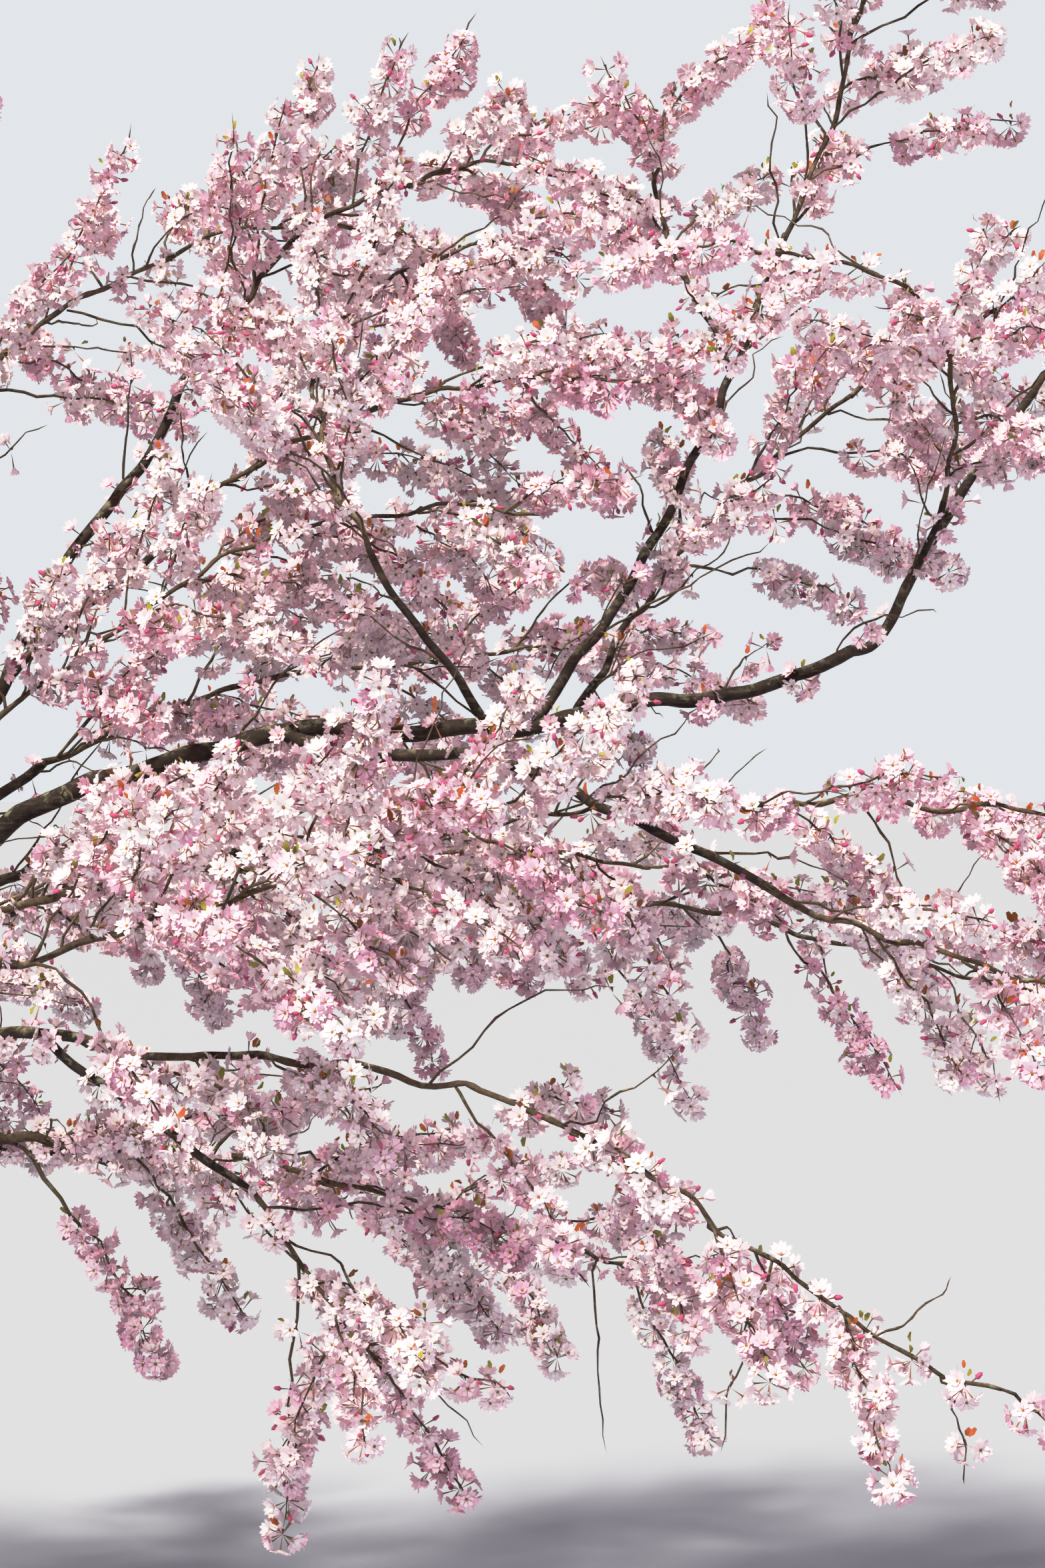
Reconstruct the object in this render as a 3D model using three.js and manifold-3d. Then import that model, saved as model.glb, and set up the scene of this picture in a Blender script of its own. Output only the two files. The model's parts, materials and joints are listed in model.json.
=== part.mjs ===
// A low, wide-spreading ornamental cherry in full blossom: a leaning trunk with a flared foot cut flat at
// the ground, boughs that leave it at about a metre up, and masses of blossom twigs on the boughs' ends.
// Millimetres, +Z up. The long sweeping bough reaches out along +X.
import * as THREE from "three";
import { mergeVertices } from "three/addons/utils/BufferGeometryUtils.js";
import Module from "manifold-3d";

const wasm = await Module();
wasm.setup();

// Clear gap between a limb and whatever grows out of it.
const GAP = 0.3;
// Sideways wander of a limb or stem, in degrees.
const LIMB_CROOK = 5;
const STEM_CROOK = 4;
// A spray of blossom on the end of a twig: half its length, half its breadth, its depth below its middle,
// how far it hangs under the twig, the radius kept clear around its middle, and the shares of its half length
// that are kept clear and of its twig's droop that it takes on.
const SPRAY_HALF = 105;
const SPRAY_SIDE = 48;
const SPRAY_DEEP = 44;
const SPRAY_HANG = 12;
const SPRAY_ROOM = 53;
const SPRAY_CORE = 0.55;
const SPRAY_DROOP = 0.7;
// Radius of a twig at its root as a share of its stem's, what is left of it where the spray begins, the radius
// kept clear around it, the least length before the spray, and the length of the twig on a stem's own end.
const TWIG_SHARE = 0.42;
const TWIG_TAPER = 0.85;
const TWIG_CLEAR = 4.5;
const TWIG_NECK = 15;
const LAST_TWIG = 120;
// Share of the clear room that sprays of one mass keep from each other.
const OWN_SHARE = 0.78;
// No blossom hangs lower than this.
const LOWEST = 400;
// Radius of a stem at its far end, and at its root where it springs straight from the trunk.
const STEM_END = 3;
const STEM_ROOT = 11;
const STEM_STEPS = 8;
// Corners around a bough and around a stem.
const BOUGH_SIDES = 5;
const STEM_SIDES = 3;
// A limb or stem that carries on from a tip runs straight on for this far.
const LEAD = 30;
// Tries at finding room for a twig, the turn around the stem and the shortening between them.
const TRIES = 12;
const TURN = 1.9;
const SHORTER = 0.93;
// Angle between one twig and the next around a stem, in radians.
const GOLDEN = 2.39996;
// Sprays further apart than this can't touch.
const NEAR = 600;
// Step of the wander from one bough or stem to the next, and of the seed from one mass to the next.
const LIMB_PHASE = 1.3;
const STEM_PHASE = 0.9;
const SEED_STEP = 7919;
// Share of a stem that bears no twigs, next to its bough and next to the trunk.
const BARE = 0.08;
const BARE_AT_TRUNK = 0.22;

const BARK = { color: 0x3d322b, roughness: 0.9, metalness: 0 };
const BLOSSOM = { color: 0xf3c6d5, roughness: 0.75, metalness: 0 };

// The trunk: radii at equal steps from the ground up, and a foot that flares out into lobes.
const TRUNK = {
  length: 1500,
  headings: [150, 150, 60, 30],
  pitches: [88, 86, 88, 84],
  steps: 12,
  radii: [66, 67, 66, 66, 66, 67, 67, 66, 60, 50, 40, 33, 26],
  sides: 10,
};
const FLARE = { rise: 40, reach: 95, lobes: 5, depth: 0.16 };

// A bough starts on its parent at the fraction "at" of the parent's length, or carries on from its tip where
// that is 1. Headings turn from +X towards +Y and pitches rise from level, in degrees, spread evenly along the
// length. The radii are at its root and tip.
const BOUGHS = [
  // The right side, with the long sweeping bough and its shoots.
  { name: "sweep", parent: "trunk", at: 0.72, length: 1670,
    headings: [-40, -20, -8, -1, 5, 8], pitches: [65, 47, 27, 10, 4, 4, 9, 32],
    radii: [16.5, 8.8], steps: 11 },
  { name: "sweep_rise", parent: "sweep", at: 1, length: 430,
    headings: [8, 10], pitches: [46, 58, 62], radii: [8.5, 6], steps: 4 },
  { name: "leader", parent: "sweep", at: 0.72, length: 810,
    headings: [25, 25, 15, 8], pitches: [52, 56, 66, 70], radii: [8, 4.8], steps: 8 },
  { name: "leader_left", parent: "leader", at: 0.74, length: 150,
    headings: [180, 140], pitches: [56, 66], radii: [5, 4.5], steps: 4 },
  { name: "centre_up", parent: "sweep", at: 0.68, length: 300,
    headings: [226, 200, 176], pitches: [50, 54, 58], radii: [6.5, 4.8], steps: 4 },
  { name: "right_inner", parent: "sweep", at: 0.757, length: 200,
    headings: [60, 50], pitches: [46, 40], radii: [6, 4.8], steps: 3 },
  { name: "sweep_front", parent: "sweep_rise", at: 0.42, length: 140,
    headings: [-50, -66], pitches: [50, 52], radii: [5.5, 4.6], steps: 2 },
  { name: "mid_right", parent: "sweep", at: 0.508, length: 800,
    headings: [-50, -34, -14, -12], pitches: [-10, -2, -24, -26], radii: [9.5, 5.5], steps: 9 },
  { name: "mid_right_top", parent: "mid_right", at: 0.72, length: 140,
    headings: [10, 10], pitches: [10, 4], radii: [6, 5], steps: 2 },
  { name: "left_rise", parent: "trunk", at: 0.765, length: 1160,
    headings: [40, 24, 14, 8], pitches: [66, 62, 59, 57, 55], radii: [13, 6], steps: 9 },
  { name: "upper_mid", parent: "left_rise", at: 0.45, length: 400,
    headings: [0, -20], pitches: [40, 38], radii: [7.5, 5], steps: 4 },
  { name: "left_inner", parent: "left_rise", at: 0.2, length: 260,
    headings: [-60, -40, -10], pitches: [50, 44, 36], radii: [7.5, 5], steps: 3 },
  { name: "front", parent: "trunk", at: 0.695, length: 400,
    headings: [-76, -60, -36], pitches: [50, 32, 16], radii: [15, 8], steps: 5 },
  { name: "front_fork", parent: "trunk", at: 0.675, length: 900,
    headings: [-98, -88, -52, -6], pitches: [38, 14, 4, 10], radii: [12, 6], steps: 8 },
  { name: "low_right", parent: "trunk", at: 0.655, length: 720,
    headings: [-70, -54, -26], pitches: [36, 6, -6], radii: [14, 7], steps: 7 },
  { name: "low_hang", parent: "low_right", at: 0.86, length: 360,
    headings: [-10, 5], pitches: [-44, -30, -44], radii: [6.5, 5], steps: 4 },
  { name: "back_low", parent: "trunk", at: 0.62, length: 520,
    headings: [60, 45, 24], pitches: [10, -12, -14], radii: [13, 7], steps: 5 },
  { name: "back_right", parent: "trunk", at: 0.735, length: 700,
    headings: [30, 34, 30], pitches: [42, 18, 2], radii: [15, 8], steps: 6 },
  { name: "back_far", parent: "trunk", at: 0.7, length: 600,
    headings: [72, 66, 60], pitches: [46, 26, 12], radii: [14, 7], steps: 5 },
  { name: "back_mid", parent: "trunk", at: 0.76, length: 500,
    headings: [60, 50, 30], pitches: [60, 44, 30], radii: [14, 7], steps: 5 },
  { name: "back_high", parent: "trunk", at: 0.84, length: 750,
    headings: [100, 80, 50], pitches: [70, 68, 62], radii: [15, 7], steps: 6 },
  // The left side and the back.
  { name: "left_low", parent: "trunk", at: 0.64, length: 550,
    headings: [200, 192, 186], pitches: [26, 8, -4], radii: [14, 7], steps: 5 },
  { name: "left_mid", parent: "trunk", at: 0.77, length: 550,
    headings: [165, 174], pitches: [50, 30], radii: [15, 8], steps: 5 },
  { name: "left_high", parent: "trunk", at: 0.88, length: 550,
    headings: [205, 196], pitches: [70, 58], radii: [15, 8], steps: 5 },
  { name: "front_left", parent: "trunk", at: 0.68, length: 500,
    headings: [242, 232], pitches: [40, 8], radii: [14, 7], steps: 5 },
  { name: "front_left_high", parent: "trunk", at: 0.82, length: 550,
    headings: [250, 240], pitches: [60, 46], radii: [14, 7], steps: 5 },
  { name: "back_left", parent: "trunk", at: 0.71, length: 550,
    headings: [134, 138], pitches: [44, 16], radii: [14, 7], steps: 5 },
  { name: "back", parent: "trunk", at: 0.66, length: 500,
    headings: [104, 96], pitches: [34, 6], radii: [14, 7], steps: 5 },
  { name: "front_mid", parent: "trunk", at: 0.75, length: 500,
    headings: [-75, -88, -96], pitches: [54, 40, 28], radii: [13, 7], steps: 5 },
];

// A mass: the stem that carries on from the tip of its bough (or from the trunk's side at "at", or the trunk's
// tip), the number, length and spread of its twigs, how flat its fan of twigs lies, and how far they droop.
const MASSES = [
  { name: "sweep_tip", bough: "sweep_rise", length: 520,
    headings: [10, 0], pitches: [56, 44, 20], twigs: 12, seed: 11 },
  { name: "leader_top", bough: "leader", length: 600,
    headings: [10, 20], pitches: [70, 76, 72], twigs: 16, twig: 360, seed: 12 },
  { name: "leader_left", bough: "leader_left", length: 300,
    headings: [140, 90, 30], pitches: [66, 76, 70], twigs: 11, twig: 200, seed: 43 },
  { name: "centre_up", bough: "centre_up", length: 800,
    headings: [150, 60, 10], pitches: [60, 40, 10], twigs: 20, seed: 19 },
  { name: "right_inner", bough: "right_inner", length: 750,
    headings: [40, 0, -20], pitches: [50, 40, 20], twigs: 17, seed: 21 },
  { name: "sweep_front", bough: "sweep_front", length: 560,
    headings: [-80, -110, -160, -180], pitches: [52, 48, 26, -4], twigs: 13, twig: 200, seed: 22 },
  { name: "mid_right", bough: "mid_right", length: 420,
    headings: [-14, -10], pitches: [-20, -16, -20], twigs: 8, twig: 200, seed: 18 },
  { name: "mid_right_top", bough: "mid_right_top", length: 460,
    headings: [0, -8], pitches: [4, -4, -16], twigs: 8, twig: 200, seed: 44 },
  { name: "left_rise", bough: "left_rise", length: 620,
    headings: [8, -5], pitches: [52, 34, 4, -16], twigs: 16, seed: 13 },
  { name: "upper_mid", bough: "upper_mid", length: 720,
    headings: [-20, 0], pitches: [34, 10, -6], twigs: 20, seed: 23 },
  { name: "left_inner", bough: "left_inner", length: 850,
    headings: [-10, 0, 0], pitches: [40, 34, 10, -10], twigs: 25, seed: 28 },
  { name: "front", bough: "front", length: 980,
    headings: [-26, -8, 0, 6], pitches: [12, 8, 2, -6], twigs: 25, twig: 290, seed: 14 },
  { name: "front_fork", bough: "front_fork", length: 760,
    headings: [0, 8], pitches: [16, 18, 8], twigs: 27, twig: 310, flat: 0.9, droop: 0.08, seed: 15 },
  { name: "low_right", bough: "low_right", length: 1260,
    headings: [-14, -8, -4, 0], pitches: [-2, -2, -10, -28, -36, -32, -26],
    twigs: 19, twig: 180, spread: 52, droop: 0.08, seed: 16 },
  { name: "low_hang", bough: "low_hang", length: 260,
    headings: [0, 20], pitches: [-60, -50], twigs: 8, twig: 280, spread: 66, seed: 17 },
  { name: "low_inner", bough: "trunk", at: 0.61, length: 950,
    headings: [-40, -20, -6, 4], pitches: [16, -2, -8, -16], twigs: 12, twig: 300, seed: 41 },
  { name: "back_low", bough: "back_low", length: 900,
    headings: [10, 4, -10], pitches: [-10, -10, -22], twigs: 12, seed: 24 },
  { name: "back_right", bough: "back_right", length: 1300,
    headings: [26, 12, 0, -6], pitches: [-2, -10, -12, -16], twigs: 18, seed: 25 },
  { name: "back_far", bough: "back_far", length: 850,
    headings: [54, 46, 40], pitches: [10, 0, -14], twigs: 14, twig: 420, seed: 45 },
  { name: "back_mid", bough: "back_mid", length: 950,
    headings: [24, 14, 4], pitches: [26, 14, 4, -6], twigs: 20, seed: 26 },
  { name: "back_high", bough: "back_high", length: 850,
    headings: [44, 30, 14], pitches: [50, 30, 0], twigs: 18, twig: 400, seed: 27 },
  { name: "left_low", bough: "left_low", length: 1050,
    headings: [186, 180, 172], pitches: [-4, -14, -22], twigs: 19, twig: 380, seed: 31 },
  { name: "left_mid", bough: "left_mid", length: 1050,
    headings: [172, 168, 176], pitches: [30, 12, -6], twigs: 19, twig: 400, seed: 32 },
  { name: "left_high", bough: "left_high", length: 1050,
    headings: [196, 190, 184], pitches: [62, 48, 22], twigs: 20, twig: 400, seed: 33 },
  { name: "front_left", bough: "front_left", length: 1000,
    headings: [232, 226, 218], pitches: [6, -10, -20], twigs: 18, twig: 400, seed: 34 },
  { name: "front_left_high", bough: "front_left_high", length: 900,
    headings: [238, 230, 222], pitches: [50, 32, 10], twigs: 19, twig: 400, seed: 35 },
  { name: "back_left", bough: "back_left", length: 1050,
    headings: [138, 140, 146], pitches: [12, -6, -18], twigs: 19, twig: 400, seed: 36 },
  { name: "back", bough: "back", length: 950,
    headings: [94, 90, 84], pitches: [4, -10, -20], twigs: 17, twig: 400, seed: 37 },
  { name: "crown_top", bough: "trunk", at: 1, length: 1200,
    headings: [120, 130, 150], pitches: [80, 76, 62], twigs: 21, twig: 420, seed: 39 },
  { name: "front_mid", bough: "front_mid", length: 700,
    headings: [-98, -90, -80], pitches: [24, 8, -6], twigs: 13, twig: 380, seed: 42 },
];
const USUAL = { twig: 330, spread: 56, flat: 0.6, droop: 0.16 };

const UP = new THREE.Vector3(0, 0, 1);
const radians = THREE.MathUtils.degToRad;

// Even draws between 0 and 1 from a seed.
class Draws {
  constructor(seed) {
    this.state = seed;
  }
  unit() {
    this.state = (this.state + 0x6d2b79f5) >>> 0;
    let t = this.state;
    t = Math.imul(t ^ (t >>> 15), t | 1) >>> 0;
    t = (t ^ (t + Math.imul(t ^ (t >>> 7), t | 61))) >>> 0;
    return ((t ^ (t >>> 14)) >>> 0) / 4294967296;
  }
  between(low, high) {
    return low + (high - low) * this.unit();
  }
}

// Unit vector at a heading and a pitch.
function direction(heading, pitch) {
  const [h, p] = [radians(heading), radians(pitch)];
  return new THREE.Vector3(Math.cos(p) * Math.cos(h), Math.cos(p) * Math.sin(h), Math.sin(p));
}

// Value at the fraction u along evenly spaced values.
function along(values, u) {
  const x = Math.min(Math.max(u, 0), 1) * (values.length - 1);
  const i = Math.min(Math.floor(x), values.length - 2);
  return values[i] + (values[i + 1] - values[i]) * (x - i);
}

// Points of a limb that turns through its headings and pitches and wanders a little.
function course(start, { length, headings, pitches }, steps, crook, phase) {
  const points = [start.clone()];
  for (let i = 0; i < steps; i++) {
    const u = (i + 0.5) / steps;
    const sway = crook * Math.sin(phase + 2.4 * i);
    const nod = crook * Math.cos(1.7 * phase + 1.9 * i);
    const step = direction(along(headings, u) + sway, along(pitches, u) + nod);
    points.push(points[i].clone().addScaledVector(step, length / steps));
  }
  return points;
}

// A course that carries on from a tip, just clear of it and straight on at first.
function carryOn(tip, ahead, sizes, steps, crook, phase) {
  const lead = tip.clone().addScaledVector(ahead, LEAD);
  return [tip.clone().addScaledVector(ahead, GAP), ...course(lead, sizes, steps, crook, phase)];
}

// A course that leaves a limb's side, or carries on from its tip.
function grow(point, ahead, fromSide, sizes, steps, crook, phase) {
  if (fromSide) return course(point, sizes, steps, crook, phase);
  return carryOn(point, ahead, sizes, steps - 1, crook, phase);
}

// Point and direction at the fraction u of a course's steps.
function onCourse(points, u) {
  const x = Math.min(Math.max(u, 0), 1) * (points.length - 1);
  const i = Math.min(Math.floor(x), points.length - 2);
  const ahead = points[i + 1].clone().sub(points[i]).normalize();
  return { point: points[i].clone().lerp(points[i + 1], x - i), ahead };
}

// Smallest distance between the segments p1 to q1 and p2 to q2.
function segmentGap(p1, q1, p2, q2) {
  const d1 = q1.clone().sub(p1);
  const d2 = q2.clone().sub(p2);
  const r = p1.clone().sub(p2);
  const [a, e, f, c, b] = [d1.dot(d1), d2.dot(d2), d2.dot(r), d1.dot(r), d1.dot(d2)];
  const clamp = (value) => Math.min(Math.max(value, 0), 1);
  const den = a * e - b * b;
  let s = den > 1e-6 ? clamp((b * f - c * e) / den) : 0;
  let t = (b * s + f) / e;
  if (t < 0) [t, s] = [0, clamp(-c / a)];
  else if (t > 1) [t, s] = [1, clamp((b - c) / a)];
  return p1.clone().addScaledVector(d1, s).distanceTo(p2.clone().addScaledVector(d2, t));
}

// Distance from a point to a chain of points.
function chainGap(point, chain) {
  const nearest = new THREE.Vector3();
  const gaps = chain.slice(1).map((end, i) => {
    new THREE.Line3(chain[i], end).closestPointToPoint(point, true, nearest);
    return nearest.distanceTo(point);
  });
  return Math.min(...gaps);
}

// Evenly tapering radii.
function taper(first, last, count) {
  return Array.from({ length: count }, (_, k) => first + ((last - first) * k) / (count - 1));
}

// Level direction square to a limb's own direction.
function sideOf(ahead) {
  const side = new THREE.Vector3(-ahead.y, ahead.x, 0);
  return side.length() < 1e-3 ? new THREE.Vector3(1, 0, 0) : side.normalize();
}

// The skeleton of trunk and boughs: points and radii of each by name.
function growLimbs() {
  const limbs = new Map();
  const upright = course(new THREE.Vector3(), TRUNK, TRUNK.steps, 0, 0);
  limbs.set("trunk", { points: upright, radii: TRUNK.radii, sides: TRUNK.sides });
  BOUGHS.forEach((bough, i) => {
    const { point, ahead } = onCourse(limbs.get(bough.parent).points, bough.at);
    const phase = (i - 1) * LIMB_PHASE;
    const points = grow(point, ahead, bough.at < 1, bough, bough.steps, LIMB_CROOK, phase);
    limbs.set(bough.name, { points, radii: taper(...bough.radii, points.length), sides: BOUGH_SIDES });
  });
  return limbs;
}

// The stems of the masses, each starting just clear of its bough's tip, or in the trunk where it leaves its
// side.
function growStems(limbs) {
  return MASSES.map((mass, i) => {
    const limb = limbs.get(mass.bough);
    const fromSide = mass.bough === "trunk" && mass.at < 1;
    const { point, ahead } = onCourse(limb.points, fromSide ? mass.at : 1);
    const root = fromSide ? STEM_ROOT : limb.radii.at(-1);
    const points = grow(point, ahead, fromSide, mass, STEM_STEPS, STEM_CROOK, i * STEM_PHASE);
    const radii = taper(root, STEM_END, points.length);
    return { ...USUAL, ...mass, fromSide, points, radii, grown: [], draws: new Draws(mass.seed * SEED_STEP) };
  });
}

// Whether a spray and its twig stay in their mass's own space and clear of everything else.
function hasRoom(mass, twig, masses, obstacles) {
  if (twig.centre.z - SPRAY_DEEP <= LOWEST) return false;
  const own = chainGap(twig.centre, mass.points);
  if (masses.some((other) => other !== mass && chainGap(twig.centre, other.points) <= own)) return false;
  return obstacles.every(({ owner, from, to, radius, kind }) => {
    if (from.distanceTo(twig.centre) > NEAR) return true;
    const share = owner === mass.name ? (kind === "twig" ? 0 : OWN_SHARE) : 1;
    if (segmentGap(twig.head, twig.tail, from, to) < share * (radius + SPRAY_ROOM + 1)) return false;
    if (owner === mass.name && kind !== "spray") return true;
    return segmentGap(twig.root, twig.end, from, to) >= share * (radius + TWIG_CLEAR + 1);
  });
}

// A twig leaving a stem at an angle, with the axis of the spray that hangs at its end.
function makeTwig(mass, root, ahead, roll, spread, length) {
  const side = sideOf(ahead);
  const up = ahead.clone().cross(side);
  const out = side.multiplyScalar(Math.cos(roll)).addScaledVector(up, Math.sin(roll) * mass.flat);
  const way = ahead.clone().multiplyScalar(Math.cos(spread));
  way.addScaledVector(out, Math.sin(spread)).normalize();
  const end = root.clone().addScaledVector(way, length).addScaledVector(UP, -mass.droop * length);
  const axis = end.clone().sub(root).normalize().addScaledVector(UP, -SPRAY_DROOP * mass.droop).normalize();
  const centre = end.clone().addScaledVector(UP, -SPRAY_HANG);
  const head = centre.clone().addScaledVector(axis, -SPRAY_CORE * SPRAY_HALF);
  const tail = centre.clone().addScaledVector(axis, SPRAY_CORE * SPRAY_HALF);
  return { root, end, axis, centre, head, tail };
}

// Twigs of every mass in turn, one at a time, so that neighbours share the room between them.
function growTwigs(limbs, masses) {
  const obstacles = [];
  const chain = (owner, points, radii, extra) =>
    points.slice(1).forEach((to, k) => {
      const radius = Math.max(radii[k], radii[k + 1]) + extra;
      obstacles.push({ owner, from: points[k], to, radius, kind: "limb" });
    });
  for (const [name, limb] of limbs) chain(`bough_${name}`, limb.points, limb.radii, 2);
  for (const mass of masses) chain(mass.name, mass.points, mass.radii, 1);
  for (let k = 0; k < Math.max(...masses.map((mass) => mass.twigs)); k++) {
    for (const mass of masses.filter((one) => k < one.twigs)) {
      const { draws } = mass;
      const bare = mass.fromSide ? BARE_AT_TRUNK : BARE;
      const u = bare + ((1 - bare) * (k + draws.between(0.2, 0.8))) / mass.twigs;
      let roll = GOLDEN * k + draws.between(-0.5, 0.5);
      let length = mass.twig * (1 - 0.45 * u) * draws.between(0.75, 1.2);
      let spread = radians(mass.spread * draws.between(0.85, 1.1));
      let { point, ahead } = onCourse(mass.points, u);
      const thick = TWIG_SHARE * along(mass.radii, u);
      if (k === mass.twigs - 1) [point, length, spread] = [mass.points.at(-1), LAST_TWIG, 0];
      for (let attempt = 0; attempt < TRIES; attempt++) {
        const twig = { ...makeTwig(mass, point, ahead, roll, spread, length), thick };
        if (hasRoom(mass, twig, masses, obstacles)) {
          mass.grown.push(twig);
          const owner = mass.name;
          obstacles.push({ owner, from: twig.head, to: twig.tail, radius: SPRAY_ROOM, kind: "spray" });
          obstacles.push({ owner, from: twig.root, to: twig.end, radius: TWIG_CLEAR, kind: "twig" });
          break;
        }
        length *= SHORTER;
        roll += TURN;
      }
    }
  }
}

// A closed tube around a course, as a cylinder bent along it. The foot's ring lies level and its lobes fade
// upwards.
function tube({ points, radii, sides }, grown = 0, foot = false) {
  const steps = points.length - 1;
  const geometry = new THREE.CylinderGeometry(1, 1, 1, sides, steps);
  const ways = points.slice(1).map((point, i) => point.clone().sub(points[i]).normalize());
  const rings = [];
  points.forEach((point, k) => {
    const ahead = ways[Math.max(k - 1, 0)].clone().add(ways[Math.min(k, steps - 1)]).normalize();
    if (foot && k === 0) ahead.copy(UP);
    const before = k === 0 ? (foot ? new THREE.Vector3(1, 0, 0) : sideOf(ahead)) : rings[k - 1].side;
    const side = before.clone().addScaledVector(ahead, -before.dot(ahead)).normalize();
    const radius = radii[k] + grown / Math.cos(Math.PI / sides);
    rings.push({ point, side, across: side.clone().cross(ahead), radius });
  });
  const position = geometry.attributes.position;
  const local = new THREE.Vector3();
  for (let i = 0; i < position.count; i++) {
    local.fromBufferAttribute(position, i);
    const { point, side, across, radius } = rings[Math.round((local.y + 0.5) * steps)];
    const fade = foot ? Math.exp(-point.z / FLARE.reach) : 0;
    const lobe = 1 + FLARE.depth * fade * Math.cos(FLARE.lobes * Math.atan2(local.z, local.x));
    const reach = (radius + FLARE.rise * fade) * lobe;
    const moved = point.clone().addScaledVector(side, local.x * reach);
    moved.addScaledVector(across, local.z * reach);
    position.setXYZ(i, moved.x, moved.y, moved.z);
  }
  return toSolid(geometry);
}

function toSolid(geometry) {
  geometry.deleteAttribute("normal");
  geometry.deleteAttribute("uv");
  const merged = mergeVertices(geometry);
  const vertProperties = merged.attributes.position.array;
  const triVerts = new Uint32Array(merged.index.array);
  return new wasm.Manifold(new wasm.Mesh({ numProp: 3, vertProperties, triVerts }));
}

function toGeometry(solid) {
  const mesh = solid.getMesh();
  const geometry = new THREE.BufferGeometry();
  geometry.setAttribute("position", new THREE.BufferAttribute(mesh.vertProperties, 3));
  geometry.setIndex(new THREE.BufferAttribute(mesh.triVerts, 1));
  return geometry;
}

// The biggest body that is left of a solid after others have been cut away from it.
function cutBy(solid, cutters) {
  const left = cutters.reduce((body, cutter) => body.subtract(cutter), solid);
  return left.decompose().reduce((best, body) => (body.volume() > best.volume() ? body : best));
}

// A twig and the spray of blossom round its end, as one closed three-sided spindle: root, neck, widest ring and
// point. The root is sunk to the middle of the stem.
function makeTwigSolid({ root, end, axis, centre, thick }) {
  const way = end.clone().sub(root).normalize();
  const neck = centre.clone().addScaledVector(axis, -SPRAY_HALF).addScaledVector(UP, SPRAY_HANG);
  if (neck.clone().sub(root).dot(way) < TWIG_NECK) neck.copy(root).addScaledVector(way, TWIG_NECK);
  const tip = centre.clone().addScaledVector(axis, SPRAY_HALF);
  const rings = [
    { point: root, ahead: way, side: thick, deep: thick },
    { point: neck, ahead: way, side: thick * TWIG_TAPER, deep: thick * TWIG_TAPER },
    { point: centre, ahead: axis, side: SPRAY_SIDE / Math.cos(Math.PI / 6), deep: SPRAY_DEEP },
    { point: tip, ahead: axis, side: 0, deep: 0 },
  ];
  const geometry = new THREE.CylinderGeometry(0, 1, 1, 3, 3);
  const position = geometry.attributes.position;
  for (let i = 0; i < position.count; i++) {
    const level = Math.round((position.getY(i) + 0.5) * 3);
    const corner = Math.atan2(position.getZ(i), position.getX(i)) - Math.PI / 3;
    const hub = Math.hypot(position.getX(i), position.getZ(i)) < 1e-6;
    const { point, ahead, side, deep } = rings[level];
    const across = sideOf(ahead);
    const down = across.clone().cross(ahead);
    const moved = point.clone();
    if (!hub) moved.addScaledVector(across, Math.cos(corner) * side).addScaledVector(down, Math.sin(corner) * deep);
    position.setXYZ(i, moved.x, moved.y, moved.z);
  }
  return toSolid(geometry);
}

function addMesh(group, name, solid, look) {
  const mesh = new THREE.Mesh(toGeometry(solid), new THREE.MeshStandardMaterial(look));
  mesh.name = name;
  group.add(mesh);
}

function buildTree() {
  const limbs = growLimbs();
  const masses = growStems(limbs);
  growTwigs(limbs, masses);
  const tree = new THREE.Group();
  const cutters = [];
  for (const [name, limb] of limbs) {
    const isTrunk = name === "trunk";
    const solid = cutBy(tube(limb, 0, isTrunk), cutters);
    addMesh(tree, isTrunk ? name : `bough_${name}`, solid, BARK);
    cutters.push(tube(limb, GAP, isTrunk));
  }
  for (const mass of masses) {
    const stem = tube({ points: mass.points, radii: mass.radii, sides: STEM_SIDES });
    let solid = mass.fromSide ? cutBy(stem, cutters) : stem;
    for (const twig of mass.grown) solid = solid.add(makeTwigSolid(twig));
    addMesh(tree, `blossom_${mass.name}`, solid, BLOSSOM);
  }
  return tree;
}

export default buildTree();
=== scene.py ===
"""A low, wide-spreading ornamental cherry in full blossom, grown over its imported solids.

Trunk, boughs, stems and twigs follow the same seeded rule as the solids and are carried on to finer twigs
inside the same reach. Flowers, buds and young leaves stand on spurs along them. The rule works in millimetres
and every mesh is in metres, with the trunk's flat cut at the origin and +Z up.
"""

import json
import logging
import math
from collections.abc import Callable, Iterable, Iterator, Sequence
from dataclasses import dataclass, field
from enum import Enum

import bmesh
import bpy
import numpy as np
from mathutils import Matrix, Vector, noise

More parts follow.
